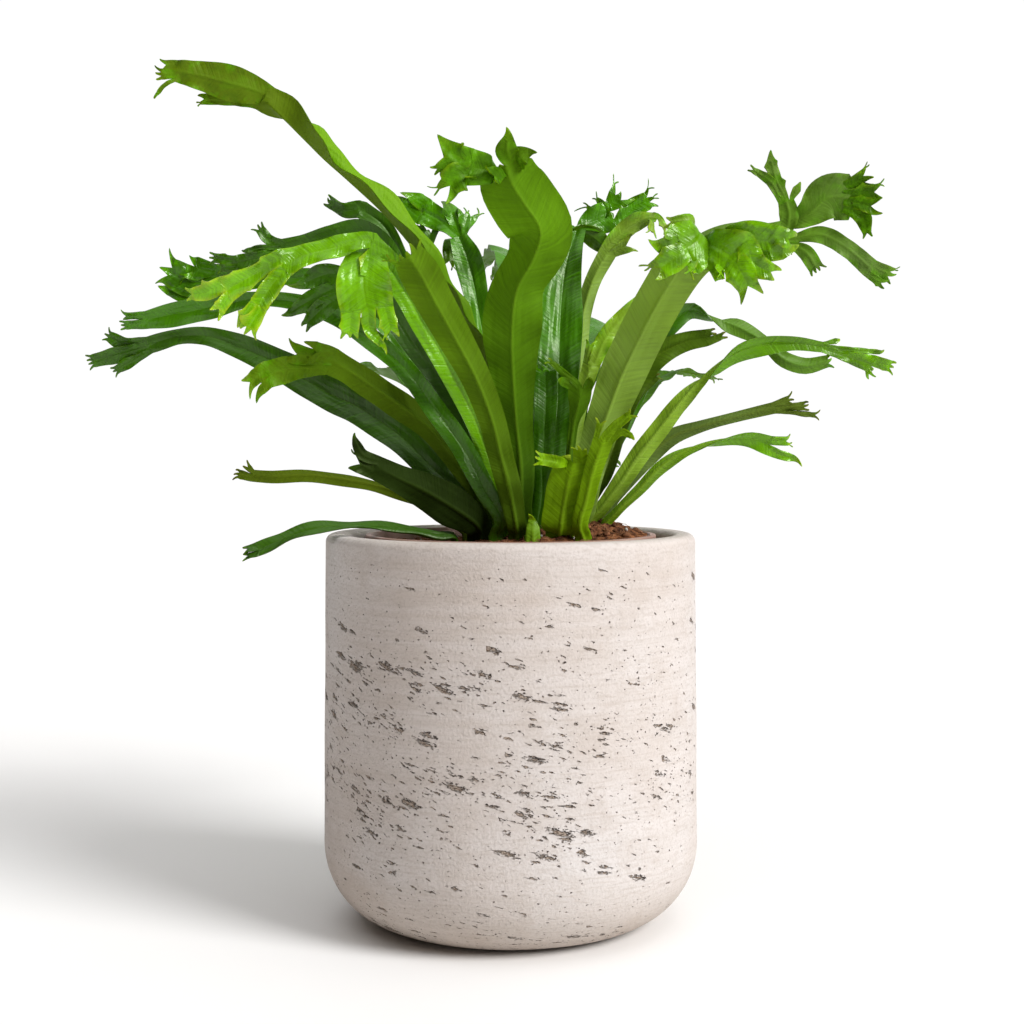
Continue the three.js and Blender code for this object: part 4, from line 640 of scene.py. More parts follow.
class Sheet:
    """A leaf as one sheet of points and triangles, given its thickness at the end."""

    def __init__(self, name, seed):
        self.name = name
        self.seed = seed
        self.points = []
        self.facts = []
        self.triangles = []

    def add_row(self, points, thickness, rib, aside, run, tip):
        """Points, each with its thickness, rib, place on the flat leaf and nearness to the tip."""
        first = len(self.points)
        self.points.extend(points)
        facts = np.broadcast_arrays(thickness, rib, aside, run, tip)
        self.facts.extend(np.column_stack(facts))
        return list(range(first, len(self.points)))

    def stitch(self, a, b):
        """Triangles between two rows, whatever their counts."""
        i = 0
        j = 0
        while i < len(a) - 1 or j < len(b) - 1:
            left = (i + 1) / (len(a) - 1) if i < len(a) - 1 else 2
            right = (j + 1) / (len(b) - 1) if j < len(b) - 1 else 2
            if left <= right:
                self.triangles.append((a[i], b[j], a[i + 1]))
                i += 1
            else:
                self.triangles.append((a[i], b[j], b[j + 1]))
                j += 1

    def grow_blade(self, stalk, blade, fold, end):
        """Stalk and blade in one run, then what its end carries."""
        foot, collar = stalk
        upright = np.array([0, 0, 1.0])
        rows = rows_along([collar, *blade], ROW_STEP, upright)
        before = None
        for height in (foot[2], (foot[2] + collar[2]) / 2, collar[2]):
            row = Row(np.array([foot[0], foot[1], height]), rows[0].width, upright, foot[4:7], 0)
            before = self.add_blade_row(row, fold, before, height - collar[2], None)
        length = rows[-1].run
        for row in rows[1:-1]:
            before = self.add_blade_row(row, fold, before, row.run, length)
        self.finish_run(rows[-1], end, fold, before, length, 0, 0)

    def add_blade_row(self, row, fold, before, run, length):
        """A row of the stalk, which has no length, or of the blade."""
        c = columns(row.width, BLADE_COLUMNS)
        fade = 1 - smooth((run - STALK_FADE[0]) / (STALK_FADE[1] - STALK_FADE[0]))
        body = BLADE + (BLADE_MARGIN - BLADE) * np.abs(c) ** 3
        stem = STALK * np.sqrt(np.clip(1 - STALK_OVAL * c * c, 0, 1))
        height = RIB_HEIGHT[0]
        near = 0
        if length is not None:
            height = between(RIB_HEIGHT, run / length) * smooth((length - run) / RIB_END)
            near = smooth(1 - (length - run) / TIP_REACH) * TIP_OF_BLADE * np.abs(c) ** 3
            place, reach, extra = CREASES.get(self.name, [0, 1, 0])
            fold = fold + extra * math.exp(-(((run - place) / reach) ** 2))
        points = row_points(row, c, fold * smooth(run / STALK_FADE[1]), self.seed)
        rib = ridge(c, row.width) * height
        ids = self.add_row(points, body + (stem - body) * fade, rib, c * row.width / 2, run, near)
        if before:
            self.stitch(before, ids)
        return ids

    def finish_run(self, last, end, fold, before, length, depth, tip):
        """The last row of a run, and the lobes or fingers that grow from it."""
        fingered = isinstance(end, int)
        if fingered:
            c = np.linspace(-1, 1, end * FINGER_CELLS + 1)
        else:
            wide = sum(knots[0][3] for knots, _ in end)
            end = sorted(end, key=lambda lobe: np.dot(last.across, lobe[0][0][:3]))
            c = [-1]
            for knots, _ in end:
                share = 2 * knots[0][3] / wide
                c.extend(np.linspace(c[-1], c[-1] + share, LOBE_CELLS + 1)[1:])
        c = np.asarray(c)
        points = row_points(last, c, fold, self.seed)
        tip = max(tip, TIP_OF_FINGERS if fingered else TIP_OF_LOBES)
        ids = self.add_row(points, LOBE_THICKNESS, 0, c * last.width / 2, length, tip)
        self.stitch(before, ids)
        if fingered:
            self.grow_fingers(ids, last, end)
            return
        for i, (knots, further) in enumerate(end):
            own = ids[i * LOBE_CELLS:(i + 1) * LOBE_CELLS + 1]
            self.grow_lobe(knots, further, last, own, depth + 1, i)

    def grow_lobe(self, knots, end, last, ids, depth, order):
        low = self.points[ids[0]]
        high = self.points[ids[-1]]
        middle = (low + high) / 2
        width = np.linalg.norm(high - low)
        across = unit(high - low)
        own = knots[0][4:7]
        joined = bool(np.dot(own, across) > LOBE_TURN)
        if not joined:
            chance = draw(self.seed + 2.3 * len(self.points))
            reach = min(STUB, width * spanned(STUB_REACH, chance))
            self.grow_point(ids, last, reach, 0.6 * (chance - 0.5), chance, FINGER_ROWS)
            neck, shift = NECKS.get(self.name, NECK) if depth == 1 else NECK
            middle = middle + shift * (last.centre - middle) - last.along * LOBE_ROOT
            width = neck * knots[0][3]
            across = own
        start = np.concatenate([middle, [width], across])
        slope = unit(last.along + unit(knots[0][:3] - middle))
        rows = rows_along([start, *knots], LOBE_ROW_STEP, slope)
        length = rows[-1].run
        base = self.facts[ids[len(ids) // 2]][3]
        phase = self.seed + 3 * order + depth
        before = ids if joined else None
        for row in rows[int(joined):-1]:
            c = columns(row.width, LOBE_COLUMNS)
            grown = smooth(row.run / RUFFLE_START)
            teeth = (depth - 1) * smooth((row.run - TOOTH_START[0]) / TOOTH_START[1])
            points = row_points(row, c, LOBE_FOLD * grown, phase, RUFFLE * grown, teeth)
            rib = ridge(c, row.width) * LOBE_RIB * grown
            tip = (0.3 + 0.2 * depth + 0.2 * row.run / length) * (0.45 + 0.55 * np.abs(c) ** 3)
            run = base + row.run
            row_ids = self.add_row(points, LOBE_THICKNESS, rib, c * row.width / 2, run, tip)
            if before:
                self.stitch(before, row_ids)
            before = row_ids
        self.finish_run(rows[-1], end, LOBE_FOLD, before, base + length, depth, 0.3 + 0.15 * depth)

    def grow_fingers(self, ids, last, count):
        """Fingers, one on each share of the last row: some end in a point, some fork in two first."""
        for i in range(count):
            own = ids[i * FINGER_CELLS:(i + 1) * FINGER_CELLS + 1]
            base = np.linalg.norm(self.points[own[-1]] - self.points[own[0]])
            chance = draw(self.seed * 3.1 + len(self.points))
            length = np.clip(base * spanned(FINGER_REACH, chance), *FINGER)
            out = ((2 * i + 1) / count - 1) * FINGER_SPREAD
            forked = draw(chance * 53) < FORK_SHARE and base > FORK_BASE and count > 1
            tip = self.grow_point(own, last, length, out, chance, FORK_AT if forked else FINGER_ROWS)
            if not forked:
                continue
            middle = FINGER_CELLS // 2
            for side, half in ((-1, tip[:middle + 1]), (1, tip[middle:])):
                again = draw(chance * 17 + side)
                reach = length * spanned(FORK_REACH, again)
                self.grow_point(half, last, reach, out + side * FORK_SPREAD, again, FINGER_ROWS - 2)

    def grow_point(self, ids, last, length, out, chance, rows):
        """A curled finger with hollow sides, as far as it goes before it forks or ends."""
        low = self.points[ids[0]]
        high = self.points[ids[-1]]
        middle = (low + high) / 2
        half = np.linalg.norm(high - low) / 2
        across = unit(high - low)
        curl = (draw(chance * 97) - 0.55) * FINGER_CURL
        sway = (draw(chance * 31) - 0.5) * FINGER_SWAY
        run = self.facts[ids[0]][3]
        c = np.linspace(-1, 1, len(ids))
        forks = rows == FORK_AT
        for k in range(1, rows + 1):
            t = k / (rows + (2 if forks else 0))
            centre = middle + last.along * length * (t - 0.3 * abs(curl) * t * t)
            centre = centre + last.across * length * (out * t + sway * t * t)
            centre = centre + last.up * length * curl * t * t
            if k == rows and not forks:
                tip = self.add_row([centre], BLADE_MARGIN, 0, 0, run + length, 1)[0]
                self.triangles += [(a, tip, b) for a, b in zip(ids, ids[1:])]
                return [tip]
            spread = FINGER_TIP + (half - FINGER_TIP) * (1 - t) ** FINGER_SHARPNESS
            cup = FINGER_CUP * spread * (c * c - 0.4) * t
            points = centre + np.outer(c * spread, across) + np.outer(cup, last.up)
            row_ids = self.add_row(points, BLADE_MARGIN, 0, c * spread, run + length * t, 0.5 + 0.5 * t)
            self.stitch(ids, row_ids)
            ids = row_ids
        return ids

    def thicken(self, name):
        """The leaf's object: both sides of the sheet, closed along its edges."""
        points = np.array(self.points)
        thickness, rib, aside, run, tip = np.array(self.facts).T
        triangles = np.array(self.triangles)
        corners = points[triangles]
        face_normals = np.cross(corners[:, 1] - corners[:, 0], corners[:, 2] - corners[:, 0])
        normals = np.zeros_like(points)
        for k in range(3):
            np.add.at(normals, triangles[:, k], face_normals)
        normals /= np.maximum(np.linalg.norm(normals, axis=1), 1e-9)[:, None]
        half = normals * (thickness / 2)[:, None]
        raised = normals * rib[:, None]
        both = np.vstack([points + half - RIB_ABOVE * raised, points - half - raised])
        edges = {}
        for a, b, c in self.triangles:
            for s, t in ((a, b), (b, c), (c, a)):
                if (t, s) in edges:
                    del edges[(t, s)]
                else:
                    edges[(s, t)] = True
        count = len(points)
        faces = [tuple(t) for t in self.triangles]
        faces += [(a + count, c + count, b + count) for a, b, c in self.triangles]
        faces += [(s, s + count, t + count, t) for s, t in edges]
        flat = np.stack([aside, run], axis=1)
        marks = {
            "under": np.repeat([0.0, 1.0], count),
            "rib": np.tile(np.clip(rib / 0.5, 0, 1), 2),
            "tip": np.tile(tip, 2),
        }
        for cast, amounts in CASTS.items():
            marks[cast] = np.full(2 * count, amounts.get(self.name, 0.0))
        made = make_object(name, both, faces, np.vstack([flat, flat]), marks)
        made.data.set_sharp_from_angle(angle=math.radians(LEAF_SHARP))
        return made


def stalk_knots(root, first):
    """The stalk's own knots, upright in the soil below the first knot of the blade."""
    level = unit(np.array([first[4], first[5], 0]))
    ground = soil_height(*root)
    width = min(STALK_WIDTH[1], max(STALK_WIDTH[0], first[3]))
    return [np.array([*root, ground + rise, width, *level]) for rise in (-STALK_DEPTH, STALK_STRAIGHT)]


def make_frond(name, root, seed, fold, tone, blade, end):
    sheet = Sheet(name, seed)
    drape = fold if name in PLAIN_FOLD else fold * FOLD_GAIN
    sheet.grow_blade(stalk_knots(root, blade[0]), blade, drape, end)
    node = f"frond_{seed:02d}_{name}"
    leaf = sheet.thicken(node + "_leaf")
    finish(leaf, leaf_surfaces[tone], node)


def forward_of(away, rise):
    level = math.cos(math.radians(rise))
    return np.array([away[0] * level, away[1] * level, math.sin(math.radians(rise))])


def make_rear_frond(seed, root, direction, length, rise_at_root, rise_at_tip, width, tone):
    """A rear frond rises from its root and arches over in one upright plane."""
    away = np.array([math.cos(math.radians(direction)), math.sin(math.radians(direction)), 0])
    across = np.array([-away[1], away[0], 0])
    place = np.array([*root, soil_height(*root) + STALK_STRAIGHT])
    knots = []
    for i in range(1, REAR_STATIONS + 1):
        t = i / REAR_STATIONS
        rise = rise_at_root + (rise_at_tip - rise_at_root) * (t - 0.5 / REAR_STATIONS) ** 1.6
        ahead = forward_of(away, rise)
        place = place + ahead * length / REAR_STATIONS
        turn = math.radians(REAR_TWIST * math.sin(seed + 3 * t))
        lean = across * math.cos(turn) + np.cross(ahead, across) * math.sin(turn)
        wide = STALK_WIDTH[0] + (width - STALK_WIDTH[0]) * smooth(t * 2.2)
        knots.append(np.concatenate([place, [wide], lean]))
    end = rear_crest(place, away, across, rise_at_tip, width, seed)
    make_frond("rear", root, len(FRONDS) + seed, REAR_FOLD, tone, knots, end)


def rear_crest(place, away, across, rise, width, seed):
    """A crest by rule: three fingered lobes fan out."""
    lobes = []
    for i in (-1, 0, 1):
        length = spanned(REAR_LOBE, draw(seed + i))
        lifted = rise + REAR_LOBE_RISE[0] + REAR_LOBE_RISE[1] * draw(seed * 3 + i)
        way = unit(forward_of(away, lifted) + across * i * spanned(REAR_LOBE_SPREAD, draw(seed * 5 + i)))
        lobe_across = unit(across - way * np.dot(across, way))
        wide = width * REAR_CREST_WIDTH * spanned(REAR_LOBE_SHARE, draw(seed * 7 + i))
        lobes.append(([np.concatenate([place + way * length, [wide], lobe_across])], REAR_FINGERS))
    return lobes


# Materials


def scaled(colour, factor):
    return [c * factor for c in colour]


class Nodes:
    """A tree of shading nodes, built step by step. A value is a number, a colour or a node's output."""

    def __init__(self, tree):
        self.tree = tree

    def feed(self, socket, value):
        if isinstance(value, bpy.types.NodeSocket):
            self.tree.links.new(value, socket)
        else:
            socket.default_value = value

    def node(self, kind, inputs=None, **settings):
        made = self.tree.nodes.new(kind)
        for key, value in settings.items():
            setattr(made, key, value)
        for key, value in (inputs or {}).items():
            self.feed(made.inputs[key], value)
        return made

    def math(self, operation, *values):
        return self.node("ShaderNodeMath", dict(enumerate(values)), operation=operation).outputs[0]

    def times(self, a, b):
        return self.math("MULTIPLY", a, b)

    def plus(self, a, b):
        return self.math("ADD", a, b)

    def line(self, value, slope, start):
        return self.math("MULTIPLY_ADD", value, slope, start)

    def mix(self, factor, a, b):
        a, b = [(*colour, 1) if isinstance(colour, (tuple, list)) else colour for colour in (a, b)]
        return self.node("ShaderNodeMix", {0: factor, 6: a, 7: b}, data_type="RGBA").outputs[2]

    def ramp(self, value, low, high, to_low=0.0, to_high=1.0):
        inputs = {"Value": value, "From Min": low, "From Max": high, "To Min": to_low, "To Max": to_high}
        return self.node("ShaderNodeMapRange", inputs).outputs["Result"]

    def layers(self, base, *rows):
        """Colours laid over a base. A row is: value, start, end, most, colour."""
        for value, low, high, most, colour in rows:
            base = self.mix(self.ramp(value, low, high, 0.0, most), base, colour)
        return base

    def noise(self, scale, detail, vector, roughness=0.55):
        inputs = {"Scale": scale, "Detail": detail, "Vector": vector, "Roughness": roughness}
        return self.node("ShaderNodeTexNoise", inputs).outputs["Fac"]

    def split(self, vector):
        return self.node("ShaderNodeSeparateXYZ", {0: vector}).outputs

    def joined(self, x, y=0.0):
        return self.node("ShaderNodeCombineXYZ", {0: x, 1: y}).outputs[0]

    def vectors(self, operation, a, b):
        return self.node("ShaderNodeVectorMath", {0: a, 1: b}, operation=operation).outputs[0]


class Surface(Nodes):
    """A material with one main shader."""

    def __init__(self, name):
        self.material = bpy.data.materials.new(name)
        self.material.use_nodes = True
        super().__init__(self.material.node_tree)
        self.tree.nodes.clear()
        self.output = self.node("ShaderNodeOutputMaterial")
        self.shader = self.node("ShaderNodeBsdfPrincipled")
        self.show(self.shader.outputs["BSDF"])
        self.position = self.node("ShaderNodeTexCoord").outputs["Object"]

    def show(self, shader):
        self.feed(self.output.inputs["Surface"], shader)

    def mark(self, name):
        return self.node("ShaderNodeAttribute", attribute_name=name).outputs["Fac"]

    def bumps(self, *rows):
        """Bumps one after the other. A row is: height, distance in metres, strength."""
        normal = None
        for height, distance, strength in rows:
            inputs = {"Height": height, "Distance": distance, "Strength": strength}
            if normal is not None:
                inputs["Normal"] = normal
            normal = self.node("ShaderNodeBump", inputs).outputs["Normal"]
        return normal

    def set(self, **values):
        for key, value in values.items():
            self.feed(self.shader.inputs[key.replace("_", " ")], value)


def leaf_surface(tone):
    """A fern leaf: slanting veins, a satin blade, a glossy crest dappled with painted light and painted
    shade, a foot darkened by painted shade, and light that comes through.
    """
    top, under, rib_colour, tip_colour, gloss, through, foot, painted_dapple = TONES[tone]
    s = Surface("leaf_" + tone)
    is_under = s.mark("under")
    is_top = s.math("SUBTRACT", 1.0, is_under)
    tip = s.mark("tip")
    aside, run, _ = s.split(s.node("ShaderNodeUVMap", uv_map="UVMap").outputs[0])
    away = s.math("ABSOLUTE", aside)
    climb = s.line(away, -0.6, run)
    veins = s.noise(1.0, 2.0, s.joined(s.times(climb, 0.8), s.times(away, 0.05)))
    drift = s.noise(60.0, 2.0, s.position)
    broad = s.noise(22.0, 3.0, s.position)
    fine = s.noise(420.0, 3.0, s.position)
    lively = s.noise(170.0, 2.0, s.position)
    patchy = s.ramp(s.noise(14.0, 2.0, s.position), 0.4, 0.6, 0.35, 1.0)
    crest = s.ramp(tip, 0.2, 0.45)

    pale = s.mix(is_under, scaled(top, 1.55), scaled(under, 1.35))
    deep = s.mix(is_under, scaled(top, 0.6), scaled(under, 0.72))
    base = s.layers(
        s.mix(is_under, top, under),
        (broad, 0.42, 0.68, 1.0, pale),
        (broad, 0.48, 0.3, 1.0, deep),
        (veins, 0.5, 0.66, 0.5, pale),
        (veins, 0.48, 0.34, 0.4, deep),
        # Painted shade: each leaf darkens towards its foot, where the crown shades it.
        (run, 120.0, 5.0, foot, scaled(top, 0.385)),
        (fine, 0.6, 0.9, 0.18, deep),
        (s.line(drift, 0.4, tip), 0.7, 1.3, 1.0, tip_colour),
    )
    for cast, side in (("sere", is_under), ("faded", s.times(is_under, patchy)), ("fresh", is_top)):
        base = s.mix(s.times(s.mark(cast), side), base, CAST_COLOURS[cast])
    # Painted light and painted shade on the crest: random patches of lighter and darker green stand for lit
    # lobes and shaded folds.
    painted_light_green = [min(0.7, c * 2.0) for c in top]
    for low, high, colour in ((0.5, 0.62, painted_light_green), (0.46, 0.36, deep)):
        base = s.mix(s.times(crest, s.ramp(lively, low, high, 0.0, painted_dapple)), base, colour)
    base = s.mix(s.times(s.mark("rib"), s.line(is_under, 0.2, 0.2)), base, rib_colour)

    relief = s.line(s.noise(1400.0, 2.0, s.position), 0.15, veins)
    crinkle = s.times(s.noise(150.0, 2.0, s.position), s.ramp(tip, 0.05, 0.4))
    pleats = s.noise(1.0, 1.0, s.joined(s.times(aside, 0.22), s.times(run, 0.03)))
    normal = s.bumps(
        (relief, 0.0007, 0.5),
        (s.noise(45.0, 1.0, s.position), 0.0022, 0.3),
        (crinkle, 0.0014, 0.55),
        (s.times(pleats, s.line(is_under, -0.6, 1.0)), 0.003, 0.6),
    )
    rough = s.plus(s.line(is_under, 0.2, gloss), s.ramp(fine, 0.3, 0.8, -0.04, 0.08))
    rough = s.line(s.times(crest, is_under), -0.18, rough)
    rough = s.plus(rough, s.ramp(crest, 0.0, 1.0, 0.13, 0.0))
    s.set(Base_Color=base, Roughness=rough, Normal=normal)
    glossy = gloss < GLOSSY_BELOW
    s.set(Specular_IOR_Level=0.55 if glossy else 0.25)
    s.set(Specular_Tint=(0.9, 1.0, 0.75, 1.0) if glossy else (0.75, 0.92, 0.4, 1.0))

    glow = s.node("ShaderNodeBsdfTranslucent", {"Color": s.mix(through, base, (0.42, 0.62, 0.01))})
    shaders = {0: 0.27, 1: s.shader.outputs["BSDF"], 2: glow.outputs["BSDF"]}
    s.show(s.node("ShaderNodeMixShader", shaders).outputs[0])
    return s.material


def concrete_surface():
    """Pale washed concrete: ragged dark pits that slant a little, with painted shadow on their upper walls,
    pin holes, faint bands, a warmer foot.
    """
    s = Surface("washed_concrete")
    x, y, z = s.split(s.position)
    turn = s.math("ARCTAN2", x, s.times(y, -1.0))
    radius = s.math("SQRT", s.line(x, x, s.times(y, y)))
    height = s.times(s.plus(z, s.math("SUBTRACT", radius, POT_RADIUS * MM)), 1 / MM)
    flat = s.joined(s.times(s.plus(turn, PIT_TURN), POT_RADIUS), height)

    def stretched(size, slant=0.0):
        inputs = {"Vector": flat, "Rotation": (0, 0, slant), "Scale": (*size, 1)}
        return s.node("ShaderNodeMapping", inputs, vector_type="TEXTURE").outputs[0]

    ragged = s.noise(1.0, 3.0, stretched((2.0, 0.9), PIT_SLANT), 0.65)
    cluster = s.noise(1.0, 2.0, stretched((34, 20), PIT_SLANT))
    torn = s.noise(1.0, 3.0, stretched((1.5, 0.55), PIT_SLANT), 0.75)

    def pits(size, reach, share, zone, slant):
        """Long ragged pits, one at most in each cell, and their shaded upper parts."""
        place = stretched(size, slant)
        cells = s.node("ShaderNodeTexVoronoi", {"Vector": place, "Scale": 1.0}, voronoi_dimensions="2D")
        chance = s.node("ShaderNodeSeparateColor", {0: cells.outputs["Color"]}).outputs
        there = s.math("LESS_THAN", chance[0], s.times(zone, share))
        wide = s.line(chance[1], reach[1] - reach[0], reach[0])
        edge = s.line(ragged, -1.3, s.plus(wide, 0.6))
        depth = s.ramp(s.math("SUBTRACT", edge, cells.outputs["Distance"]), 0.0, PIT_SLOPE)
        depth = s.times(depth, there)
        above = s.split(s.vectors("SUBTRACT", place, cells.outputs["Position"]))
        # The upper-right walls of each pit, which face away from the light, are where the painted shadow
        # goes.
        upper = s.ramp(s.line(above[0], 0.4, above[1]), -0.04, 0.16, 0.08, 1.0)
        wall = s.times(s.times(depth, 4.0), s.math("SUBTRACT", 1.0, depth))
        return depth, s.times(wall, upper)

    band = s.times(s.ramp(height, 138.0, 108.0), s.ramp(height, 34.0, 54.0))
    band = s.math("MAXIMUM", band, s.ramp(height, 24.0, 8.0, 0.0, 0.6))
    zone = s.line(s.ramp(cluster, 0.42, 0.6), s.line(band, 0.85, 0.1), 0.04)
    zone = s.times(zone, s.ramp(turn, -0.1, 1.1, 1.1, 0.45))
    plain_rim = s.ramp(z, 0.164, 0.156)
    sunk = 0.0
    shade = 0.0
    for size, reach, share, added, slant in PITS:
        depth, dark = pits(size, reach, share, s.times(s.plus(zone, added), plain_rim), slant)
        sunk = s.math("MAXIMUM", sunk, depth)
        shade = s.math("MAXIMUM", shade, dark)

    cloud = s.noise(9.0, 4.0, s.position)
    mottle = s.noise(60.0, 5.0, s.position, 0.6)
    grain = s.noise(900.0, 3.0, s.position)
    bands = s.noise(1.0, 4.0, stretched((160, 6)))
    sway = s.joined(s.times(cloud, 60.0))
    brushed = s.noise(1.0, 1.0, s.vectors("ADD", stretched((26, 1.2)), sway))
    base = s.layers(
        s.mix(s.ramp(cloud, 0.35, 0.65), (0.53, 0.46, 0.415), (0.61, 0.57, 0.55)),
        (bands, 0.4, 0.65, 0.4, (0.67, 0.62, 0.60)),
        (brushed, 0.5, 0.7, 0.35, (0.42, 0.355, 0.31)),
        (mottle, 0.5, 0.75, 0.4, (0.44, 0.37, 0.32)),
        (height, 40.0, -10.0, 0.5, (0.42, 0.33, 0.25)),
        (grain, 0.5, 0.75, 0.4, (0.36, 0.31, 0.27)),
    )
    inside = s.mix(s.ramp(torn, 0.5, 0.6), (0.50, 0.40, 0.325), (0.15, 0.082, 0.045))
    base = s.mix(sunk, base, inside)
    # Painted shadow: the pits' upper walls are darkened almost to black.
    base = s.mix(s.times(shade, s.ramp(torn, 0.38, 0.5, 0.25, 1.0)), base, (0.03, 0.016, 0.009))

    relief = s.line(sunk, -1.0, s.times(mottle, 0.14))
    relief = s.line(s.times(sunk, torn), -0.8, relief)
    normal = s.bumps((relief, 0.0026, 1.0), (grain, 0.0004, 0.8))
    s.set(Base_Color=base, Roughness=s.ramp(mottle, 0.3, 0.7, 0.72, 0.92), Normal=normal)
    s.set(Specular_IOR_Level=0.3)
    return s.material


def plastic_surface():
    s = Surface("growing_pot_plastic")
    scuff = s.noise(35.0, 5.0, s.position)
    dust = s.noise(160.0, 4.0, s.position)
    base = s.mix(s.ramp(scuff, 0.4, 0.7), (0.30, 0.17, 0.135), (0.40, 0.25, 0.2))
    base = s.layers(base, (dust, 0.55, 0.75, 0.5, (0.2, 0.13, 0.09)))
    s.set(Base_Color=base, Roughness=s.ramp(dust, 0.3, 0.7, 0.42, 0.62))
    s.set(Normal=s.bumps((dust, 0.0002, 0.5)))
    return s.material


def earth_surface(name, dark, light, scale, roughness=0.95):
    s = Surface(name)
    coarse = s.noise(scale, 5.0, s.position, 0.65)
    fine = s.noise(scale * 5, 4.0, s.position, 0.7)
    base = s.mix(s.ramp(coarse, 0.4, 0.6), dark, light)
    base = s.layers(base, (fine, 0.55, 0.75, 0.6, scaled(dark, 0.35)))
    s.set(Base_Color=base, Roughness=roughness, Specular_IOR_Level=0.15)
    s.set(Normal=s.bumps((s.plus(coarse, fine), 0.0009, 0.9)))
    return s.material


def floor_surface():
    s = Surface("pale_floor")
    grain = s.noise(4.0, 3.0, s.position)
    s.set(Base_Color=s.mix(grain, (0.86, 0.85, 0.84), (0.89, 0.88, 0.87)), Roughness=0.7)
    return s.material


# Pot, growing pot and soil


def arc(centre, radii, start, stop, steps):
    points = []
    for i in range(steps + 1):
        angle = math.radians(start + (stop - start) * i / steps)
        points.append([centre[0] + radii[0] * math.cos(angle), centre[1] + radii[1] * math.sin(angle)])
    return points


def evened(profile, step):
    """The profile's points, with more of them on its long stretches."""
    full = [profile[0]]
    for a, b in zip(profile, profile[1:]):
        parts = max(1, math.ceil(math.dist(a, b) / step))
        for k in range(1, parts + 1):
            full.append([a[0] + (b[0] - a[0]) * k / parts, a[1] + (b[1] - a[1]) * k / parts])
    return full


def plain(x, y, r, z):
    return [x * r, y * r, z]


def wobbly(x, y, r, z):
    """A point of the cast pot, whose round is a little uneven."""
    dent = noise.noise(Vector((x * 2.2, y * 2.2, z * 0.03))) * POT_WOBBLE
    return [x * (r + dent), y * (r + dent), z]


def heaped(x, y, r, z):
    """A point of the soil, which is heaped wherever it's open."""
    return [x * r, y * r, soil_top(x * r, y * r) if z == SOIL_EDGE else z]


def turned(name, profile, sides, point=plain):
    """A solid of revolution whose profile starts and ends on the axis."""
    points = [[0, 0, profile[0][1]]]
    for r, z in profile[1:-1]:
        for i in range(sides):
            angle = 2 * math.pi * i / sides
            points.append(point(math.cos(angle), math.sin(angle), r, z))
    points.append([0, 0, profile[-1][1]])
    rings = len(profile) - 2
    faces = []
    for i in range(sides):
        after = (i + 1) % sides
        faces.append((0, 1 + after, 1 + i))
        for k in range(rings - 1):
            low = 1 + k * sides
            faces.append((low + i, low + after, low + sides + after, low + sides + i))
        high = 1 + (rings - 1) * sides
        faces.append((high + i, high + after, len(points) - 1))
    return make_object(name, points, faces)


def make_pot():
    rim_z = POT_HEIGHT - RIM_ROUND
    inside = POT_RIM_RADIUS - POT_WALL
    foot_round = [POT_RADIUS - FOOT_RADIUS, FOOT_ROUND_HEIGHT]
    foot = arc([FOOT_RADIUS, FOOT_ROUND_HEIGHT], foot_round, -90, 0, FOOT_STEPS)
    outer_rim = arc([POT_RIM_RADIUS - RIM_ROUND, rim_z], [RIM_ROUND, RIM_ROUND], 0, 90, RIM_STEPS)
    inner_rim = arc([inside + RIM_ROUND, rim_z], [RIM_ROUND, RIM_ROUND], 90, 180, RIM_STEPS)
    inner_centre = [inside - INNER_ROUND + 1, POT_FLOOR + INNER_ROUND]
    inner_foot = arc(inner_centre, [INNER_ROUND] * 2, 0, -90, RIM_STEPS)
    profile = [[0, 0], *foot, *outer_rim, *inner_rim, *inner_foot, [0, POT_FLOOR]]
    made = turned("cover_pot", evened(profile, POT_STEP), POT_SIDES, wobbly)
    finish(made, concrete_surface(), "pot")


def liner_inside(z):
    """The growing pot's radius inside, at a height."""
    foot = POT_FLOOR + GAP
    rise = (z - foot) / (LINER_TOP - foot)
    return LINER_BASE_RADIUS + (LINER_RADIUS - LINER_LIP - LINER_BASE_RADIUS) * rise - LINER_WALL


def make_liner():
    foot = POT_FLOOR + GAP
    lip_z = LINER_TOP - LINER_LIP_HEIGHT
    profile = [
        [0, foot],
        [LINER_BASE_RADIUS, foot],
        [liner_inside(lip_z) + LINER_WALL, lip_z],
        [LINER_RADIUS, lip_z],
        *arc([LINER_RADIUS - LINER_EDGE, LINER_TOP - LINER_EDGE], [LINER_EDGE] * 2, 0, 90, 4),
        [liner_inside(LINER_TOP) + LINER_BEVEL[0], LINER_TOP],
        [liner_inside(LINER_TOP), LINER_TOP - LINER_BEVEL[1]],
        [liner_inside(foot + LINER_WALL), foot + LINER_WALL],
        [0, foot + LINER_WALL],
    ]
    made = turned("growing_pot_skin", evened(profile, LINER_STEP), LINER_SIDES)
    made.data.set_sharp_from_angle(angle=math.radians(LINER_SHARP))
    finish(made, plastic_surface(), "growing_pot")


def soil_top(x, y):
    """The heap with its crumbs, and a looser pile at the right."""
    coarse = noise.noise(Vector((x * CRUMB_GRAIN[0], y * CRUMB_GRAIN[0], 3.0)))
    fine = noise.noise(Vector((x * CRUMB_GRAIN[1], y * CRUMB_GRAIN[1], 9.0)))
    pile = SOIL_PILE * hump(x, y, SOIL_PILE_PLACE, SOIL_PILE_REACH)
    return soil_height(x, y) + (SOIL_CRUMB * (0.8 * coarse + fine) + pile)


def make_soil():
    floor = POT_FLOOR + GAP + LINER_WALL + GAP
    radius = liner_inside(SOIL_EDGE) - GAP
    side = [[0, floor], [liner_inside(floor) - GAP, floor], [radius, SOIL_EDGE]]
    rings = math.ceil(radius / SOIL_STEP)
    top = [[radius * (1 - k / rings), SOIL_EDGE] for k in range(1, rings)]
    profile = [*evened(side, SOIL_SIDE_STEP), *top, [0, soil_top(0, 0)]]
    made = turned("coir_soil", profile, SOIL_SIDES, heaped)
    finish(made, earth_surface("coir", (0.05, 0.017, 0.008), (0.34, 0.135, 0.058), 300.0), "soil")


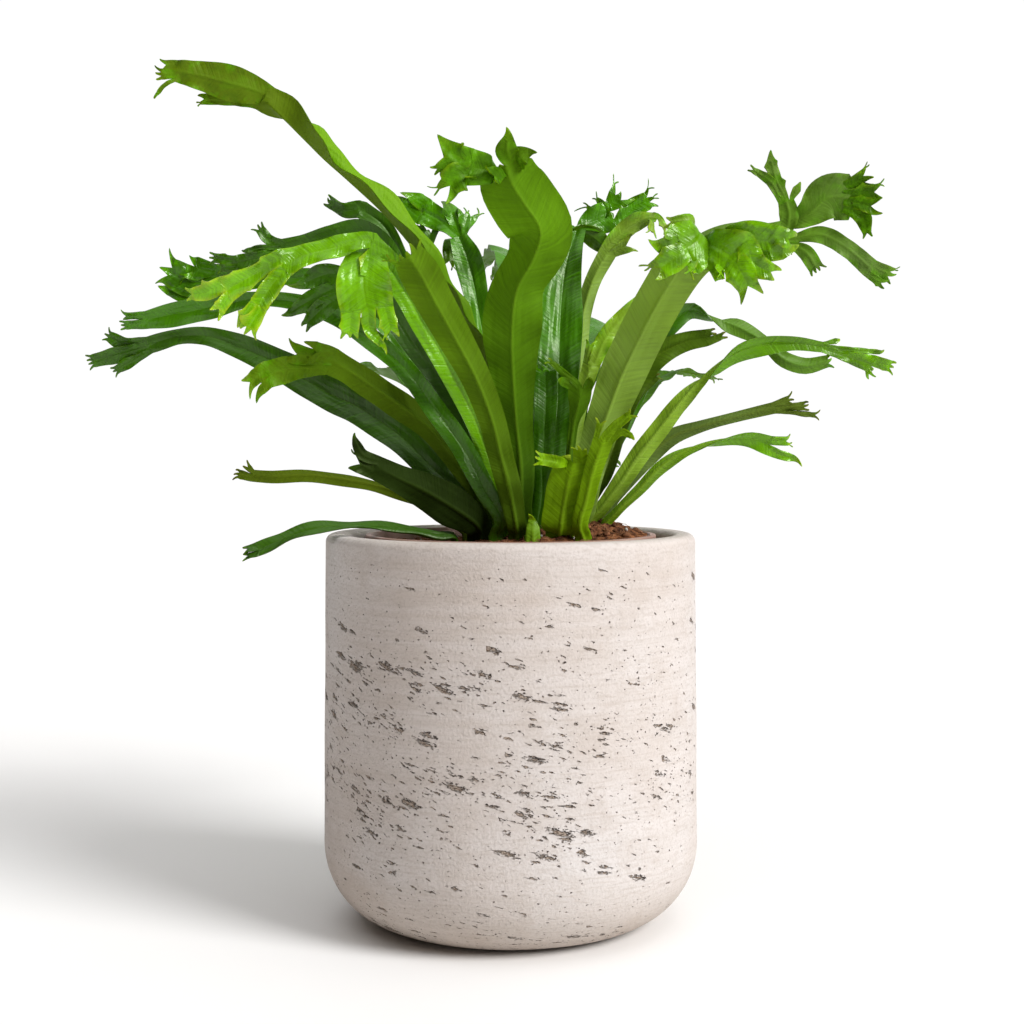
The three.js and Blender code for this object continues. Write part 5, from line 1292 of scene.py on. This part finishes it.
def on_soil(seed):
    """A place on the soil, drawn from a seed."""
    angle = 2 * math.pi * draw(seed)
    away = (liner_inside(SOIL_EDGE) - LOOSE_MARGIN) * math.sqrt(draw(seed + 0.37))
    x = away * math.cos(angle)
    y = away * math.sin(angle)
    return np.array([x, y, soil_top(x, y)])


def loose(name, bits, surface):
    """One object of closed bits, each a list of rings with the same count of points."""
    points = []
    faces = []
    for rings in bits:
        first = len(points)
        sides = len(rings[0])
        for ring in rings:
            points += ring
        for j in range(len(rings) - 1):
            for side in range(sides):
                a = first + sides * j + side
                b = first + sides * j + (side + 1) % sides
                faces.append((a, b, b + sides, a + sides))
        faces.append(tuple(first + side for side in reversed(range(sides))))
        faces.append(tuple(len(points) - sides + side for side in range(sides)))
    finish(make_object(name, points, faces), surface)


def fibre(k):
    """A loose coir fibre: a thin curved three-sided thread that lies on the soil."""
    place = on_soil(k * 1.7 + 11)
    turn = 2 * math.pi * draw(k + 0.5)
    bend = (draw(k + 0.7) - 0.5) * FIBRE_BEND
    length = spanned(FIBRE_LENGTH, draw(k + 0.9))
    thick = spanned(FIBRE_THICKNESS, draw(k + 0.2))
    rings = []
    for j in range(FIBRE_PARTS + 1):
        t = j / FIBRE_PARTS
        way = turn + bend * (t - 0.5) * 4
        place = place + np.array([math.cos(way), math.sin(way), 0]) * length / FIBRE_PARTS
        rise = FIBRE_RISE[0] + FIBRE_RISE[1] * draw(k + 0.3) * math.sin(math.pi * t)
        middle = np.array([place[0], place[1], soil_top(place[0], place[1]) + rise])
        ring = []
        for side in range(3):
            around = 2 * math.pi * side / 3
            level = math.cos(around)
            out = np.array([-math.sin(way) * level, math.cos(way) * level, math.sin(around)])
            ring.append(middle + out * thick * (1.1 - t))
        rings.append(ring)
    return rings


def lump(seed, k, size, flatness):
    """A rough lump half sunk in the soil."""
    place = on_soil(seed + k * 2.3)
    span = between(size, draw(seed + k + 0.1))
    turn = 2 * math.pi * draw(seed + k + 0.6)
    rings = []
    for j, (level, wide) in enumerate(LUMP_RINGS):
        ring = []
        for side in range(LUMP_SIDES):
            around = 2 * math.pi * side / LUMP_SIDES + 0.3 * j
            rough = 1 + LUMP_ROUGH * (draw(seed + k * 31 + j * LUMP_SIDES + side) - 0.5)
            x = span * wide * rough * math.cos(around)
            y = span * LUMP_NARROW * wide * rough * math.sin(around)
            spot = [x * math.cos(turn) - y * math.sin(turn), x * math.sin(turn) + y * math.cos(turn)]
            ring.append(place + np.array([*spot, span * flatness * level + LUMP_RISE]))
        rings.append(ring)
    return rings


# Camera, light and floor


def make_camera():
    data = bpy.data.cameras.new("camera")
    data.sensor_width = SENSOR
    data.lens = FOCAL * SENSOR / PHOTO_SIDE
    made = bpy.data.objects.new("camera", data)
    sideways = (PHOTO_SIDE / 2 - MIDDLE[0]) * -EYE[1] / FOCAL
    made.location = Vector((sideways, EYE[1], EYE[2])) * MM
    made.rotation_euler = (math.pi / 2 - TILT, 0, 0)
    bpy.context.scene.collection.objects.link(made)
    bpy.context.scene.camera = made


def make_key_light():
    """One far soft light from the right, in front and above."""
    data = bpy.data.lights.new("key", "SUN")
    data.angle = KEY_SOFTNESS
    data.energy = KEY_STRENGTH
    made = bpy.data.objects.new("key", data)
    made.rotation_euler = Vector(KEY_DIRECTION).to_track_quat("-Z", "Y").to_euler()
    bpy.context.scene.collection.objects.link(made)


def make_world():
    """Soft light that is warm and dim from the left and front, and white from the backdrop and the right."""
    world = bpy.data.worlds.new("studio")
    world.use_nodes = True
    s = Nodes(world.node_tree)
    way = s.split(s.node("ShaderNodeTexCoord").outputs["Generated"])
    light = AMBIENT
    for axis, low, high, level in BACKDROPS:
        light = s.mix(s.ramp(way[axis], low, high), light, [level] * 3)
    s.feed(world.node_tree.nodes["Background"].inputs["Color"], light)
    bpy.context.scene.world = world
    bpy.context.scene.view_settings.view_transform = "Standard"


def make_floor():
    corners = np.array([[-1, -1, 0], [1, -1, 0], [1, 1, 0], [-1, 1, 0]])
    floor = make_object("floor", corners * FLOOR_SIDE / 2 / MM, [(0, 1, 2, 3)])
    floor.location.z = -FLOOR_DROP
    floor.data.materials.append(floor_surface())


make_camera()
make_world()
make_key_light()
make_floor()
make_pot()
make_liner()
make_soil()
fibre_surface = earth_surface("fibre", (0.14, 0.055, 0.02), (0.42, 0.21, 0.10), 180.0, 0.8)
loose("coir_fibres", [fibre(k) for k in range(FIBRES)], fibre_surface)
for name, (count, seed, size, flatness, *look) in LUMPS.items():
    loose(name, [lump(seed, k, size, flatness) for k in range(count)], earth_surface(*look))

leaf_surfaces = {tone: leaf_surface(tone) for tone in TONES}
for index, (name, root, tone, fold, run) in enumerate(FRONDS):
    make_frond(name, root, index + 1, fold, tone, *knots_of(run))
for index, row in enumerate(REAR_FRONDS):
    make_rear_frond(index + 1, *row)
